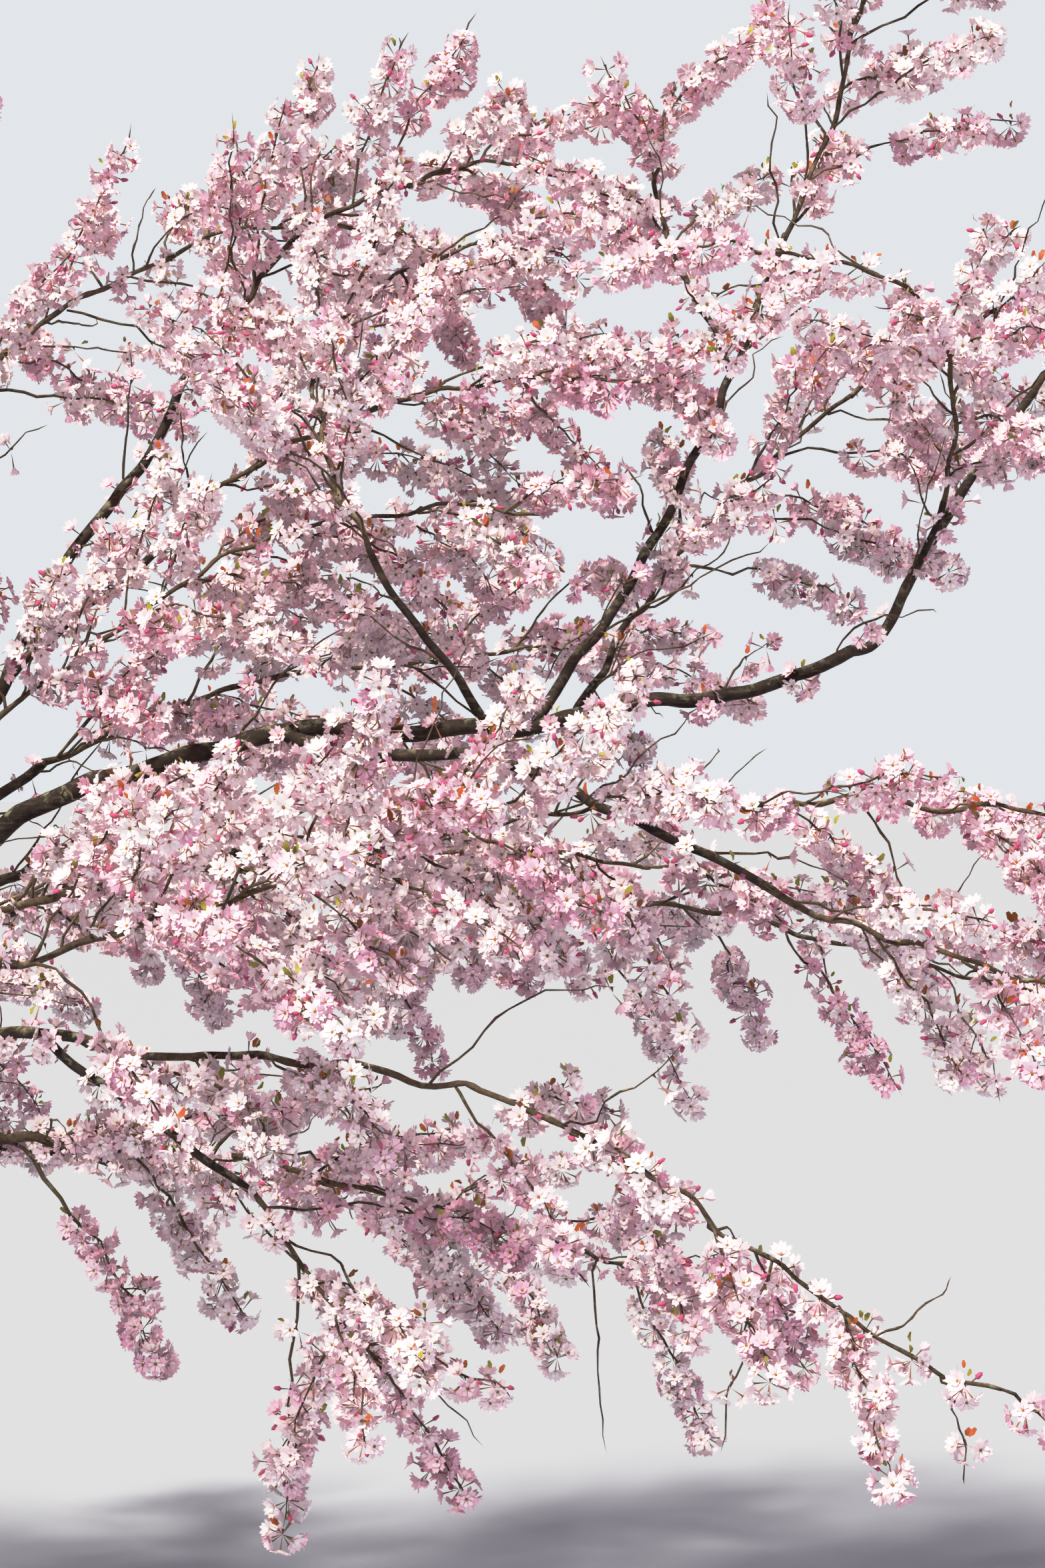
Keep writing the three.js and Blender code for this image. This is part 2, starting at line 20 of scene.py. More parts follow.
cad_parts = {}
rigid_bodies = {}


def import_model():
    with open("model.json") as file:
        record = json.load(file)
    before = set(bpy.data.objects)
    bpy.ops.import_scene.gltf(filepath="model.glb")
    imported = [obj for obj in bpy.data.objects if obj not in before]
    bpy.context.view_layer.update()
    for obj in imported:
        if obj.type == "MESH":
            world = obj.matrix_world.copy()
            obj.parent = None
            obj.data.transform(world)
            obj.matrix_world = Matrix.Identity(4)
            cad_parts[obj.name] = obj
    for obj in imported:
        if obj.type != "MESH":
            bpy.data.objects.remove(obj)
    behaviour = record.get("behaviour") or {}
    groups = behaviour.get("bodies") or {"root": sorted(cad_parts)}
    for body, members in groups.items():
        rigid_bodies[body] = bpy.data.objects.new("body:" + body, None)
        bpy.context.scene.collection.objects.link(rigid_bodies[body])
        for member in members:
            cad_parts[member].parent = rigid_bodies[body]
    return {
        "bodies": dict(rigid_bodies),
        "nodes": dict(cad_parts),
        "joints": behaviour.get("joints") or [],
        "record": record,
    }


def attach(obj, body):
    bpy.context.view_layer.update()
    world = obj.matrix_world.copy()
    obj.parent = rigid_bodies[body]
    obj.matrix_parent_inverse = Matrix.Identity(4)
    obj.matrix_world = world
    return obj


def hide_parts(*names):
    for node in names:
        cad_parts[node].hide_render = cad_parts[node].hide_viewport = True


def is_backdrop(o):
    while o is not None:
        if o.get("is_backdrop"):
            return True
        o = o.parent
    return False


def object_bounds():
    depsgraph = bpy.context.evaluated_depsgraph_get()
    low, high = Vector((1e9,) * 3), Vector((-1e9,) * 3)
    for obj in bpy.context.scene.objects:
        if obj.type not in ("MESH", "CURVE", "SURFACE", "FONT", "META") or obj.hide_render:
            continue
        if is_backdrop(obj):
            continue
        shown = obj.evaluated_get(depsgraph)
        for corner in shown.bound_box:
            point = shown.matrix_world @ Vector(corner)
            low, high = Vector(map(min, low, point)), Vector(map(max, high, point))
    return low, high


log = logging.getLogger("cherry")

MM = 0.001
UP = np.array((0.0, 0.0, 1.0))
GOLDEN = 2.39996
PIECE_TRIANGLES = 190_000
# Seed of Blender's own noise, which otherwise starts from the time of day.
NOISE_SEED = 11

# Clear gap and straight lead where a limb carries on from a tip, and how limbs and stems wander: how far in
# degrees, where each one's wander begins, and its two rhythms.
GAP, LEAD = 0.3, 30.0
LIMB_CROOK, STEM_CROOK = 5.0, 4.0
LIMB_PHASE, STEM_PHASE = 1.3, 0.9
SWAY, NOD, NOD_SHIFT = 2.4, 1.9, 1.7
# A spray's half length, hang under its twig's end and depth, the share of its length that is kept clear, its
# droop over the twig's own, and the radii kept clear around sprays and twigs.
SPRAY_HALF, SPRAY_HANG, SPRAY_DEEP = 105.0, 12.0, 44.0
SPRAY_CORE, SPRAY_DROOP = 0.55, 0.7
SPRAY_ROOM, TWIG_CLEAR, OWN_SHARE = 53.0, 4.5, 0.78
TWIG_SHARE, TWIG_NECK, LAST_TWIG = 0.42, 15.0, 120.0
LOWEST = 400.0
STEM_END, STEM_ROOT, STEM_STEPS = 3.0, 11.0, 8
# How often a twig is turned and shortened until it has room, and the bare share of a stem.
TRIES, TURN, SHORTER = 12, 1.9, 0.93
BARE, BARE_AT_TRUNK = 0.08, 0.22
# What is drawn for a twig: its place within its own stretch of the stem, its roll in radians, and its length
# and spread over those of its mass. At a stem's tip twigs are shorter by the last share.
PLACES, ROLLS, LENGTHS, SPREADS = (0.2, 0.8), (-0.5, 0.5), (0.75, 1.2), (0.85, 1.1)
TIP_SHORTER = 0.45
# Room added to all, to limbs and to stems, how far off a thing is left out, and the step between seeds.
CLEAR, LIMB_CLEAR, STEM_CLEAR = 1.0, 2.0, 1.0
NEAR = 600.0
SEED_STEP = 7919
# Below this two segments count as parallel, a direction's level part as nothing, and a length as none.
PARALLEL, UPRIGHT, TINY = 1e-6, 1e-3, 1e-12
# Above this height a direction counts as upright when a tube or a flower is laid on it.
TUBE_STEEP, FLOWER_STEEP = 0.9, 0.95

TRUNK_LENGTH, TRUNK_STEPS = 1500.0, 12
TRUNK_HEADINGS, TRUNK_PITCHES = (150, 150, 60, 30), (88, 86, 88, 84)
TRUNK_RADII = (66, 67, 66, 66, 66, 67, 67, 66, 60, 50, 40, 33, 26)
FLARE_RISE, FLARE_REACH, FLARE_LOBES, FLARE_DEPTH = 40.0, 95.0, 5, 0.16

# Strength and spacing of the bends that the solids leave out, on limbs and on twigs, and the radius below
# which a limb bears blossom itself.
CROOKS, FINE_CROOKS = (14.0, 62.0), (6.0, 24.0)
THIN_LIMB = 17.0


@dataclass(frozen=True)
class Bough:
    """A limb that leaves its parent at a share of its length, or carries on from its tip where that is 1."""

    name: str
    parent: str
    at: float
    length: float
    headings: tuple[float, ...]
    pitches: tuple[float, ...]
    radii: tuple[float, float]
    steps: int


@dataclass(frozen=True)
class Mass:
    """A mass of blossom: the stem that carries on from its bough, and the number and habit of its twigs."""

    name: str
    bough: str
    length: float
    headings: tuple[float, ...]
    pitches: tuple[float, ...]
    twigs: int
    seed: int
    twig: float = 330.0
    spread: float = 56.0
    flat: float = 0.6
    droop: float = 0.16
    at: float = 1.0


BOUGHS = (
    Bough(
        "sweep", "trunk", 0.72, 1670, (-40, -20, -8, -1, 5, 8), (65, 47, 27, 10, 4, 4, 9, 32), (16.5, 8.8), 11
    ),
    Bough("sweep_rise", "sweep", 1, 430, (8, 10), (46, 58, 62), (8.5, 6), 4),
    Bough("leader", "sweep", 0.72, 810, (25, 25, 15, 8), (52, 56, 66, 70), (8, 4.8), 8),
    Bough("leader_left", "leader", 0.74, 150, (180, 140), (56, 66), (5, 4.5), 4),
    Bough("centre_up", "sweep", 0.68, 300, (226, 200, 176), (50, 54, 58), (6.5, 4.8), 4),
    Bough("right_inner", "sweep", 0.757, 200, (60, 50), (46, 40), (6, 4.8), 3),
    Bough("sweep_front", "sweep_rise", 0.42, 140, (-50, -66), (50, 52), (5.5, 4.6), 2),
    Bough("mid_right", "sweep", 0.508, 800, (-50, -34, -14, -12), (-10, -2, -24, -26), (9.5, 5.5), 9),
    Bough("mid_right_top", "mid_right", 0.72, 140, (10, 10), (10, 4), (6, 5), 2),
    Bough("left_rise", "trunk", 0.765, 1160, (40, 24, 14, 8), (66, 62, 59, 57, 55), (13, 6), 9),
    Bough("upper_mid", "left_rise", 0.45, 400, (0, -20), (40, 38), (7.5, 5), 4),
    Bough("left_inner", "left_rise", 0.2, 260, (-60, -40, -10), (50, 44, 36), (7.5, 5), 3),
    Bough("front", "trunk", 0.695, 400, (-76, -60, -36), (50, 32, 16), (15, 8), 5),
    Bough("front_fork", "trunk", 0.675, 900, (-98, -88, -52, -6), (38, 14, 4, 10), (12, 6), 8),
    Bough("low_right", "trunk", 0.655, 720, (-70, -54, -26), (36, 6, -6), (14, 7), 7),
    Bough("low_hang", "low_right", 0.86, 360, (-10, 5), (-44, -30, -44), (6.5, 5), 4),
    Bough("back_low", "trunk", 0.62, 520, (60, 45, 24), (10, -12, -14), (13, 7), 5),
    Bough("back_right", "trunk", 0.735, 700, (30, 34, 30), (42, 18, 2), (15, 8), 6),
    Bough("back_far", "trunk", 0.7, 600, (72, 66, 60), (46, 26, 12), (14, 7), 5),
    Bough("back_mid", "trunk", 0.76, 500, (60, 50, 30), (60, 44, 30), (14, 7), 5),
    Bough("back_high", "trunk", 0.84, 750, (100, 80, 50), (70, 68, 62), (15, 7), 6),
    Bough("left_low", "trunk", 0.64, 550, (200, 192, 186), (26, 8, -4), (14, 7), 5),
    Bough("left_mid", "trunk", 0.77, 550, (165, 174), (50, 30), (15, 8), 5),
    Bough("left_high", "trunk", 0.88, 550, (205, 196), (70, 58), (15, 8), 5),
    Bough("front_left", "trunk", 0.68, 500, (242, 232), (40, 8), (14, 7), 5),
    Bough("front_left_high", "trunk", 0.82, 550, (250, 240), (60, 46), (14, 7), 5),
    Bough("back_left", "trunk", 0.71, 550, (134, 138), (44, 16), (14, 7), 5),
    Bough("back", "trunk", 0.66, 500, (104, 96), (34, 6), (14, 7), 5),
    Bough("front_mid", "trunk", 0.75, 500, (-75, -88, -96), (54, 40, 28), (13, 7), 5),
)

MASSES = (
    Mass("sweep_tip", "sweep_rise", 520, (10, 0), (56, 44, 20), 12, 11),
    Mass("leader_top", "leader", 600, (10, 20), (70, 76, 72), 16, 12, twig=360),
    Mass("leader_left", "leader_left", 300, (140, 90, 30), (66, 76, 70), 11, 43, twig=200),
    Mass("centre_up", "centre_up", 800, (150, 60, 10), (60, 40, 10), 20, 19),
    Mass("right_inner", "right_inner", 750, (40, 0, -20), (50, 40, 20), 17, 21),
    Mass("sweep_front", "sweep_front", 560, (-80, -110, -160, -180), (52, 48, 26, -4), 13, 22, twig=200),
    Mass("mid_right", "mid_right", 420, (-14, -10), (-20, -16, -20), 8, 18, twig=200),
    Mass("mid_right_top", "mid_right_top", 460, (0, -8), (4, -4, -16), 8, 44, twig=200),
    Mass("left_rise", "left_rise", 620, (8, -5), (52, 34, 4, -16), 16, 13),
    Mass("upper_mid", "upper_mid", 720, (-20, 0), (34, 10, -6), 20, 23),
    Mass("left_inner", "left_inner", 850, (-10, 0, 0), (40, 34, 10, -10), 25, 28),
    Mass("front", "front", 980, (-26, -8, 0, 6), (12, 8, 2, -6), 25, 14, twig=290),
    Mass("front_fork", "front_fork", 760, (0, 8), (16, 18, 8), 27, 15, twig=310, flat=0.9, droop=0.08),
    Mass(
        "low_right", "low_right", 1260, (-14, -8, -4, 0), (-2, -2, -10, -28, -36, -32, -26), 19, 16,
        twig=180, spread=52, droop=0.08,
    ),
    Mass("low_hang", "low_hang", 260, (0, 20), (-60, -50), 8, 17, twig=280, spread=66),
    Mass("low_inner", "trunk", 950, (-40, -20, -6, 4), (16, -2, -8, -16), 12, 41, twig=300, at=0.61),
    Mass("back_low", "back_low", 900, (10, 4, -10), (-10, -10, -22), 12, 24),
    Mass("back_right", "back_right", 1300, (26, 12, 0, -6), (-2, -10, -12, -16), 18, 25),
    Mass("back_far", "back_far", 850, (54, 46, 40), (10, 0, -14), 14, 45, twig=420),
    Mass("back_mid", "back_mid", 950, (24, 14, 4), (26, 14, 4, -6), 20, 26),
    Mass("back_high", "back_high", 850, (44, 30, 14), (50, 30, 0), 18, 27, twig=400),
    Mass("left_low", "left_low", 1050, (186, 180, 172), (-4, -14, -22), 19, 31, twig=380),
    Mass("left_mid", "left_mid", 1050, (172, 168, 176), (30, 12, -6), 19, 32, twig=400),
    Mass("left_high", "left_high", 1050, (196, 190, 184), (62, 48, 22), 20, 33, twig=400),
    Mass("front_left", "front_left", 1000, (232, 226, 218), (6, -10, -20), 18, 34, twig=400),
    Mass("front_left_high", "front_left_high", 900, (238, 230, 222), (50, 32, 10), 19, 35, twig=400),
    Mass("back_left", "back_left", 1050, (138, 140, 146), (12, -6, -18), 19, 36, twig=400),
    Mass("back", "back", 950, (94, 90, 84), (4, -10, -20), 17, 37, twig=400),
    Mass("crown_top", "trunk", 1200, (120, 130, 150), (80, 76, 62), 21, 39, twig=420, at=1),
    Mass("front_mid", "front_mid", 700, (-98, -90, -80), (24, 8, -6), 13, 42, twig=380),
)


class Draws:
    """Even draws between 0 and 1 from a seed, the same as the solids' source makes."""

    def __init__(self, seed: int) -> None:
        """Starts from a seed.

        Args:
            seed: Any whole number.
        """
        self.state = seed & 0xFFFFFFFF

    def unit(self) -> float:
        """Returns the next draw between 0 and 1."""
        self.state = (self.state + 0x6D2B79F5) & 0xFFFFFFFF
        t = self.state
        t = ((t ^ (t >> 15)) * (t | 1)) & 0xFFFFFFFF
        t = (t ^ (t + (((t ^ (t >> 7)) * (t | 61)) & 0xFFFFFFFF))) & 0xFFFFFFFF
        return (t ^ (t >> 14)) / 4294967296

    def between(self, low: float, high: float) -> float:
        """Draws between two values.

        Args:
            low: The lower.
            high: The higher.

        Returns:
            The next draw.
        """
        return low + (high - low) * self.unit()


def unit(vectors: np.ndarray) -> np.ndarray:
    """Returns vectors scaled to a length of one along their last axis."""
    return vectors / np.maximum(np.linalg.norm(vectors, axis=-1, keepdims=True), TINY)


def direction(heading: float, pitch: float) -> np.ndarray:
    """Turns angles into a direction.

    Args:
        heading: Angle from +X towards +Y, in degrees.
        pitch: Angle above the level, in degrees.

    Returns:
        The unit vector.
    """
    h, p = math.radians(heading), math.radians(pitch)
    return np.array((math.cos(p) * math.cos(h), math.cos(p) * math.sin(h), math.sin(p)))


def along(values: tuple[float, ...] | np.ndarray, share: float) -> float:
    """Reads a value between evenly spaced ones.

    Args:
        values: The values.
        share: Share of the way along them.

    Returns:
        The value there.
    """
    x = min(max(share, 0.0), 1.0) * (len(values) - 1)
    i = min(int(x), len(values) - 2)
    return values[i] + (values[i + 1] - values[i]) * (x - i)


def course(start: np.ndarray, sizes: Bough | Mass, steps: int, crook: float, phase: float) -> np.ndarray:
    """Walks the points of a limb that turns through its headings and pitches and wanders a little.

    Args:
        start: First point.
        sizes: Length, headings and pitches.
        steps: Number of steps.
        crook: Wander in degrees.
        phase: Where the wander begins.

    Returns:
        One point more than there are steps.
    """
    points = [np.array(start, float)]
    for i in range(steps):
        share = (i + 0.5) / steps
        sway = crook * math.sin(phase + SWAY * i)
        nod = crook * math.cos(NOD_SHIFT * phase + NOD * i)
        step = direction(along(sizes.headings, share) + sway, along(sizes.pitches, share) + nod)
        points.append(points[-1] + step * (sizes.length / steps))
    return np.array(points)


def carry_on(
    tip: np.ndarray, ahead: np.ndarray, sizes: Bough | Mass, steps: int, crook: float, phase: float
) -> np.ndarray:
    """Walks a course that carries on from a tip, just clear of it and straight on at first.

    Args:
        tip: Last point of the limb it carries on from.
        ahead: That limb's direction there.
        sizes: Length, headings and pitches.
        steps: Number of steps after the lead.
        crook: Wander in degrees.
        phase: Where the wander begins.

    Returns:
        The points of the course.
    """
    return np.vstack([tip + ahead * GAP, course(tip + ahead * LEAD, sizes, steps, crook, phase)])


def on_course(points: np.ndarray, share: float) -> tuple[np.ndarray, np.ndarray]:
    """Reads a place on a course.

    Args:
        points: The course.
        share: Share of its steps.

    Returns:
        The point and the direction there.
    """
    x = min(max(share, 0.0), 1.0) * (len(points) - 1)
    i = min(int(x), len(points) - 2)
    return points[i] + (points[i + 1] - points[i]) * (x - i), unit(points[i + 1] - points[i])


def side_of(ahead: np.ndarray) -> np.ndarray:
    """Returns the level direction square to a direction."""
    side = np.array((-ahead[1], ahead[0], 0.0))
    return np.array((1.0, 0.0, 0.0)) if np.linalg.norm(side) < UPRIGHT else unit(side)


def segment_gaps(p1: np.ndarray, q1: np.ndarray, p2: np.ndarray, q2: np.ndarray) -> np.ndarray:
    """Measures from one segment to many.

    Args:
        p1: Start of the one segment.
        q1: End of it.
        p2: Starts of the others, one a row.
        q2: Ends of them.

    Returns:
        The smallest distance to each.
    """
    d1, d2, r = q1 - p1, q2 - p2, p1 - p2
    a, e = d1 @ d1, (d2 * d2).sum(1)
    f, c, b = (d2 * r).sum(1), r @ d1, d2 @ d1
    den = a * e - b * b
    is_crossed = den > PARALLEL
    s = np.where(is_crossed, np.clip((b * f - c * e) / np.where(is_crossed, den, 1.0), 0, 1), 0.0)
    t = (b * s + f) / e
    s = np.where(t < 0, np.clip(-c / a, 0, 1), np.where(t > 1, np.clip((b - c) / a, 0, 1), s))
    t = np.clip(t, 0, 1)
    return np.linalg.norm(p1 + d1 * s[:, None] - p2 - d2 * t[:, None], axis=1)


def chain_gap(point: np.ndarray, chain: np.ndarray) -> float:
    """Measures from a point to a chain.

    Args:
        point: The point.
        chain: Points of the chain.

    Returns:
        The smallest distance.
    """
    start, step = chain[:-1], chain[1:] - chain[:-1]
    t = np.clip(((point - start) * step).sum(1) / (step * step).sum(1), 0, 1)
    return float(np.linalg.norm(point - start - step * t[:, None], axis=1).min())


@dataclass
class Limb:
    """A trunk, bough or stem: its points and radii, and the radius of what it leaves."""

    name: str
    points: np.ndarray
    radii: np.ndarray
    parent_radius: float = 0.0

    def trace(self, gap: float) -> tuple[np.ndarray, np.ndarray, np.ndarray]:
        """Traces the limb as a smooth line.

        Args:
            gap: Spacing of the line's points.

        Returns:
            Its points, their places among the limb's own, and the radii there.
        """
        points, places = smooth(self.points, gap)
        return points, places, np.interp(places, np.arange(len(self.radii)), self.radii)


@dataclass
class Twig:
    """A twig of a mass and the spray round its end."""

    root: np.ndarray
    end: np.ndarray
    axis: np.ndarray
    centre: np.ndarray
    head: np.ndarray
    tail: np.ndarray
    thick: float = 0.0


@dataclass
class Obstacles:
    """What a new twig keeps clear of: chains, sprays and twigs with their radii and owners."""

    owner: list[str] = field(default_factory=list)
    kind: list[str] = field(default_factory=list)
    start: list[np.ndarray] = field(default_factory=list)
    end: list[np.ndarray] = field(default_factory=list)
    radius: list[float] = field(default_factory=list)

    def add(self, owner: str, kind: str, start: np.ndarray, end: np.ndarray, radius: float) -> None:
        """Adds one segment.

        Args:
            owner: Name of the limb or mass that it belongs to.
            kind: "limb", "spray" or "twig".
            start: Its start.
            end: Its end.
            radius: Its radius.
        """
        self.owner.append(owner)
        self.kind.append(kind)
        self.start.append(start)
        self.end.append(end)
        self.radius.append(radius)

    def leave_room(self, name: str, twig: Twig) -> bool:
        """Tells whether a twig and its spray are clear of everything.

        Args:
            name: The twig's mass.
            twig: The twig.

        Returns:
            True where there is room.
        """
        start, end, radius = np.array(self.start), np.array(self.end), np.array(self.radius)
        near = np.linalg.norm(start - twig.centre, axis=1) <= NEAR
        if not near.any():
            return True
        start, end, radius = start[near], end[near], radius[near]
        own, kind = np.array(self.owner)[near] == name, np.array(self.kind)[near]
        share = np.where(own, np.where(kind == "twig", 0.0, OWN_SHARE), 1.0)
        if (segment_gaps(twig.head, twig.tail, start, end) < share * (radius + SPRAY_ROOM + CLEAR)).any():
            return False
        tested = ~(own & (kind != "spray"))
        gaps = segment_gaps(twig.root, twig.end, start, end)
        return not (tested & (gaps < share * (radius + TWIG_CLEAR + CLEAR))).any()


@dataclass
class Growth:
    """The tree's skeleton by the source's rule: limbs, stems and the twigs on them."""

    limbs: dict[str, Limb] = field(default_factory=dict)
    stems: dict[str, Limb] = field(default_factory=dict)
    twigs: dict[str, list[Twig]] = field(default_factory=dict)

    def grow(self) -> None:
        """Grows limbs, stems and twigs in turn."""
        self.grow_limbs()
        self.grow_stems()
        self.grow_twigs()

    def grow_limbs(self) -> None:
        """Grows the trunk and the boughs."""
        trunk = Bough("trunk", "", 0, TRUNK_LENGTH, TRUNK_HEADINGS, TRUNK_PITCHES, (0, 0), TRUNK_STEPS)
        points = course(np.zeros(3), trunk, TRUNK_STEPS, 0, 0)
        self.limbs["trunk"] = Limb("trunk", points, np.array(TRUNK_RADII, float))
        for i, bough in enumerate(BOUGHS):
            parent = self.limbs[bough.parent]
            point, ahead = on_course(parent.points, bough.at)
            phase = (i - 1) * LIMB_PHASE
            if bough.at < 1:
                points = course(point, bough, bough.steps, LIMB_CROOK, phase)
            else:
                points = carry_on(point, ahead, bough, bough.steps - 1, LIMB_CROOK, phase)
            radii = np.linspace(*bough.radii, len(points))
            self.limbs[bough.name] = Limb(bough.name, points, radii, along(parent.radii, bough.at))

    def grow_stems(self) -> None:
        """Grows the stem of each mass from its bough's tip, or out of the trunk's side."""
        for i, mass in enumerate(MASSES):
            limb = self.limbs[mass.bough]
            point, ahead = on_course(limb.points, mass.at)
            if mass.at < 1:
                points = course(point, mass, STEM_STEPS, STEM_CROOK, i * STEM_PHASE)
                root = STEM_ROOT
            else:
                points = carry_on(point, ahead, mass, STEM_STEPS - 1, STEM_CROOK, i * STEM_PHASE)
                root = limb.radii[-1]
            radii = np.linspace(root, STEM_END, len(points))
            self.stems[mass.name] = Limb(mass.name, points, radii, along(limb.radii, mass.at))

    def make_twig(
        self, mass: Mass, root: np.ndarray, ahead: np.ndarray, roll: float, spread: float, length: float
    ) -> Twig:
        """Makes a twig that leaves a stem at an angle, with the axis of the spray at its end.

        Args:
            mass: The twig's mass.
            root: Point on the stem.
            ahead: The stem's direction there.
            roll: Angle around the stem.
            spread: Angle off the stem.
            length: Length to the twig's end.

        Returns:
            The twig, with no thickness yet.
        """
        side = side_of(ahead)
        up = np.cross(ahead, side)
        out = side * math.cos(roll) + up * (math.sin(roll) * mass.flat)
        way = unit(ahead * math.cos(spread) + out * math.sin(spread))
        end = root + way * length - UP * (mass.droop * length)
        axis = unit(unit(end - root) - UP * (SPRAY_DROOP * mass.droop))
        centre = end - UP * SPRAY_HANG
        reach = axis * (SPRAY_CORE * SPRAY_HALF)
        return Twig(root, end, axis, centre, centre - reach, centre + reach)

    def keeps_to_its_mass(self, name: str, twig: Twig) -> bool:
        """Tells whether a spray hangs high enough and nearer to its own stem than to any other.

        Args:
            name: The twig's mass.
            twig: The twig.

        Returns:
            True where it does.
        """
        if twig.centre[2] - SPRAY_DEEP <= LOWEST:
            return False
        own = chain_gap(twig.centre, self.stems[name].points)
        others = (stem.points for other, stem in self.stems.items() if other != name)
        return all(chain_gap(twig.centre, points) > own for points in others)

    def grow_twigs(self) -> None:
        """Grows one twig of every mass in turn, so that neighbours share the room between them."""
        obstacles = Obstacles()
        chains = [(f"bough_{name}", limb, LIMB_CLEAR) for name, limb in self.limbs.items()]
        chains += [(name, stem, STEM_CLEAR) for name, stem in self.stems.items()]
        for owner, limb, extra in chains:
            for k in range(len(limb.points) - 1):
                radius = max(limb.radii[k], limb.radii[k + 1]) + extra
                obstacles.add(owner, "limb", limb.points[k], limb.points[k + 1], radius)
        draws = {mass.name: Draws(mass.seed * SEED_STEP) for mass in MASSES}
        self.twigs = {mass.name: [] for mass in MASSES}
        for k in range(max(mass.twigs for mass in MASSES)):
            for mass in MASSES:
                if k < mass.twigs:
                    self.grow_twig(mass, k, draws[mass.name], obstacles)

    def grow_twig(self, mass: Mass, k: int, draws: Draws, obstacles: Obstacles) -> None:
        """Finds room for one twig, turning and shortening it as often as the rule allows.

        Args:
            mass: The twig's mass.
            k: Its number on the stem.
            draws: The mass's draws.
            obstacles: What it keeps clear of, which it joins.
        """
        stem = self.stems[mass.name]
        bare = BARE_AT_TRUNK if mass.at < 1 else BARE
        share = bare + (1 - bare) * (k + draws.between(*PLACES)) / mass.twigs
        roll = GOLDEN * k + draws.between(*ROLLS)
        length = mass.twig * (1 - TIP_SHORTER * share) * draws.between(*LENGTHS)
        spread = math.radians(mass.spread * draws.between(*SPREADS))
        point, ahead = on_course(stem.points, share)
        thick = TWIG_SHARE * along(stem.radii, share)
        if k == mass.twigs - 1:
            point, length, spread = stem.points[-1], LAST_TWIG, 0.0
        for _ in range(TRIES):
            twig = self.make_twig(mass, point, ahead, roll, spread, length)
            if self.keeps_to_its_mass(mass.name, twig) and obstacles.leave_room(mass.name, twig):
                twig.thick = thick
                self.twigs[mass.name].append(twig)
                obstacles.add(mass.name, "spray", twig.head, twig.tail, SPRAY_ROOM)
                obstacles.add(mass.name, "twig", twig.root, twig.end, TWIG_CLEAR)
                return
            length *= SHORTER
            roll += TURN


def smooth(points: np.ndarray, spacing: float) -> tuple[np.ndarray, np.ndarray]:
    """Draws a smooth line through points.

    Args:
        points: The points.
        spacing: About how far apart the new points are.

    Returns:
        The new points, and where each lies along the old ones, counted in steps.
    """
    padded = np.vstack([2 * points[0] - points[1], points, 2 * points[-1] - points[-2]])
    made, places = [], []
    for i in range(len(points) - 1):
        p0, p1, p2, p3 = padded[i : i + 4]
        count = max(1, round(float(np.linalg.norm(p2 - p1)) / spacing))
        for t in np.arange(count) / count:
            bend, twist = 2 * p0 - 5 * p1 + 4 * p2 - p3, 3 * p1 - p0 - 3 * p2 + p3
            made.append(0.5 * (2 * p1 + (p2 - p0) * t + bend * t**2 + twist * t**3))
            places.append(i + t)
    return np.array([*made, points[-1]]), np.array([*places, len(points) - 1.0])


def mitres(points: np.ndarray) -> np.ndarray:
    """Returns the direction of a line at each of its points."""
    ways = unit(np.diff(points, axis=0))
    return np.vstack([ways[:1], unit(ways[1:] + ways[:-1]), ways[-1:]])


def tubes(paths: np.ndarray, radii: np.ndarray, sides: int) -> tuple[np.ndarray, np.ndarray]:
    """Closes a pointed tube around each of many paths.

    Args:
        paths: Points by path, at equal counts.
        radii: Radius by path and point. The last is not used, as the tube ends in a point there.
        sides: Corners around.

    Returns:
        Vertices by path, and the triangles of one path.
    """
    count, rings = paths.shape[:2]
    ways = unit(np.diff(paths, axis=1))
    ahead = np.concatenate([ways[:, :1], unit(ways[:, 1:] + ways[:, :-1]), ways[:, -1:]], axis=1)
    side = np.cross(ahead[:, 0], np.where(np.abs(ahead[:, 0, 2:]) > TUBE_STEEP, (1.0, 0.0, 0.0), UP))
    corners = 2 * np.pi * np.arange(sides) / sides
    made = []
    for k in range(rings - 1):
        side = unit(side - ahead[:, k] * (side * ahead[:, k]).sum(1, keepdims=True))
        across = np.cross(ahead[:, k], side)
        spoke = side[:, None] * np.cos(corners)[:, None] + across[:, None] * np.sin(corners)[:, None]
        made.append(paths[:, k, None] + spoke * radii[:, k, None, None])
    made.append(paths[:, -1:])
    here = np.arange(sides)
    then = (here + 1) % sides
    faces = []
    for k in range(rings - 2):
        a, b = k * sides + here, k * sides + then
        faces += [np.stack([a, b, b + sides], 1), np.stack([a, b + sides, a + sides], 1)]
    last = (rings - 2) * sides
    faces.append(np.stack([last + here, last + then, np.full(sides, last + sides)], 1))
    return np.concatenate(made, axis=1).reshape(count, -1, 3), np.vstack(faces)


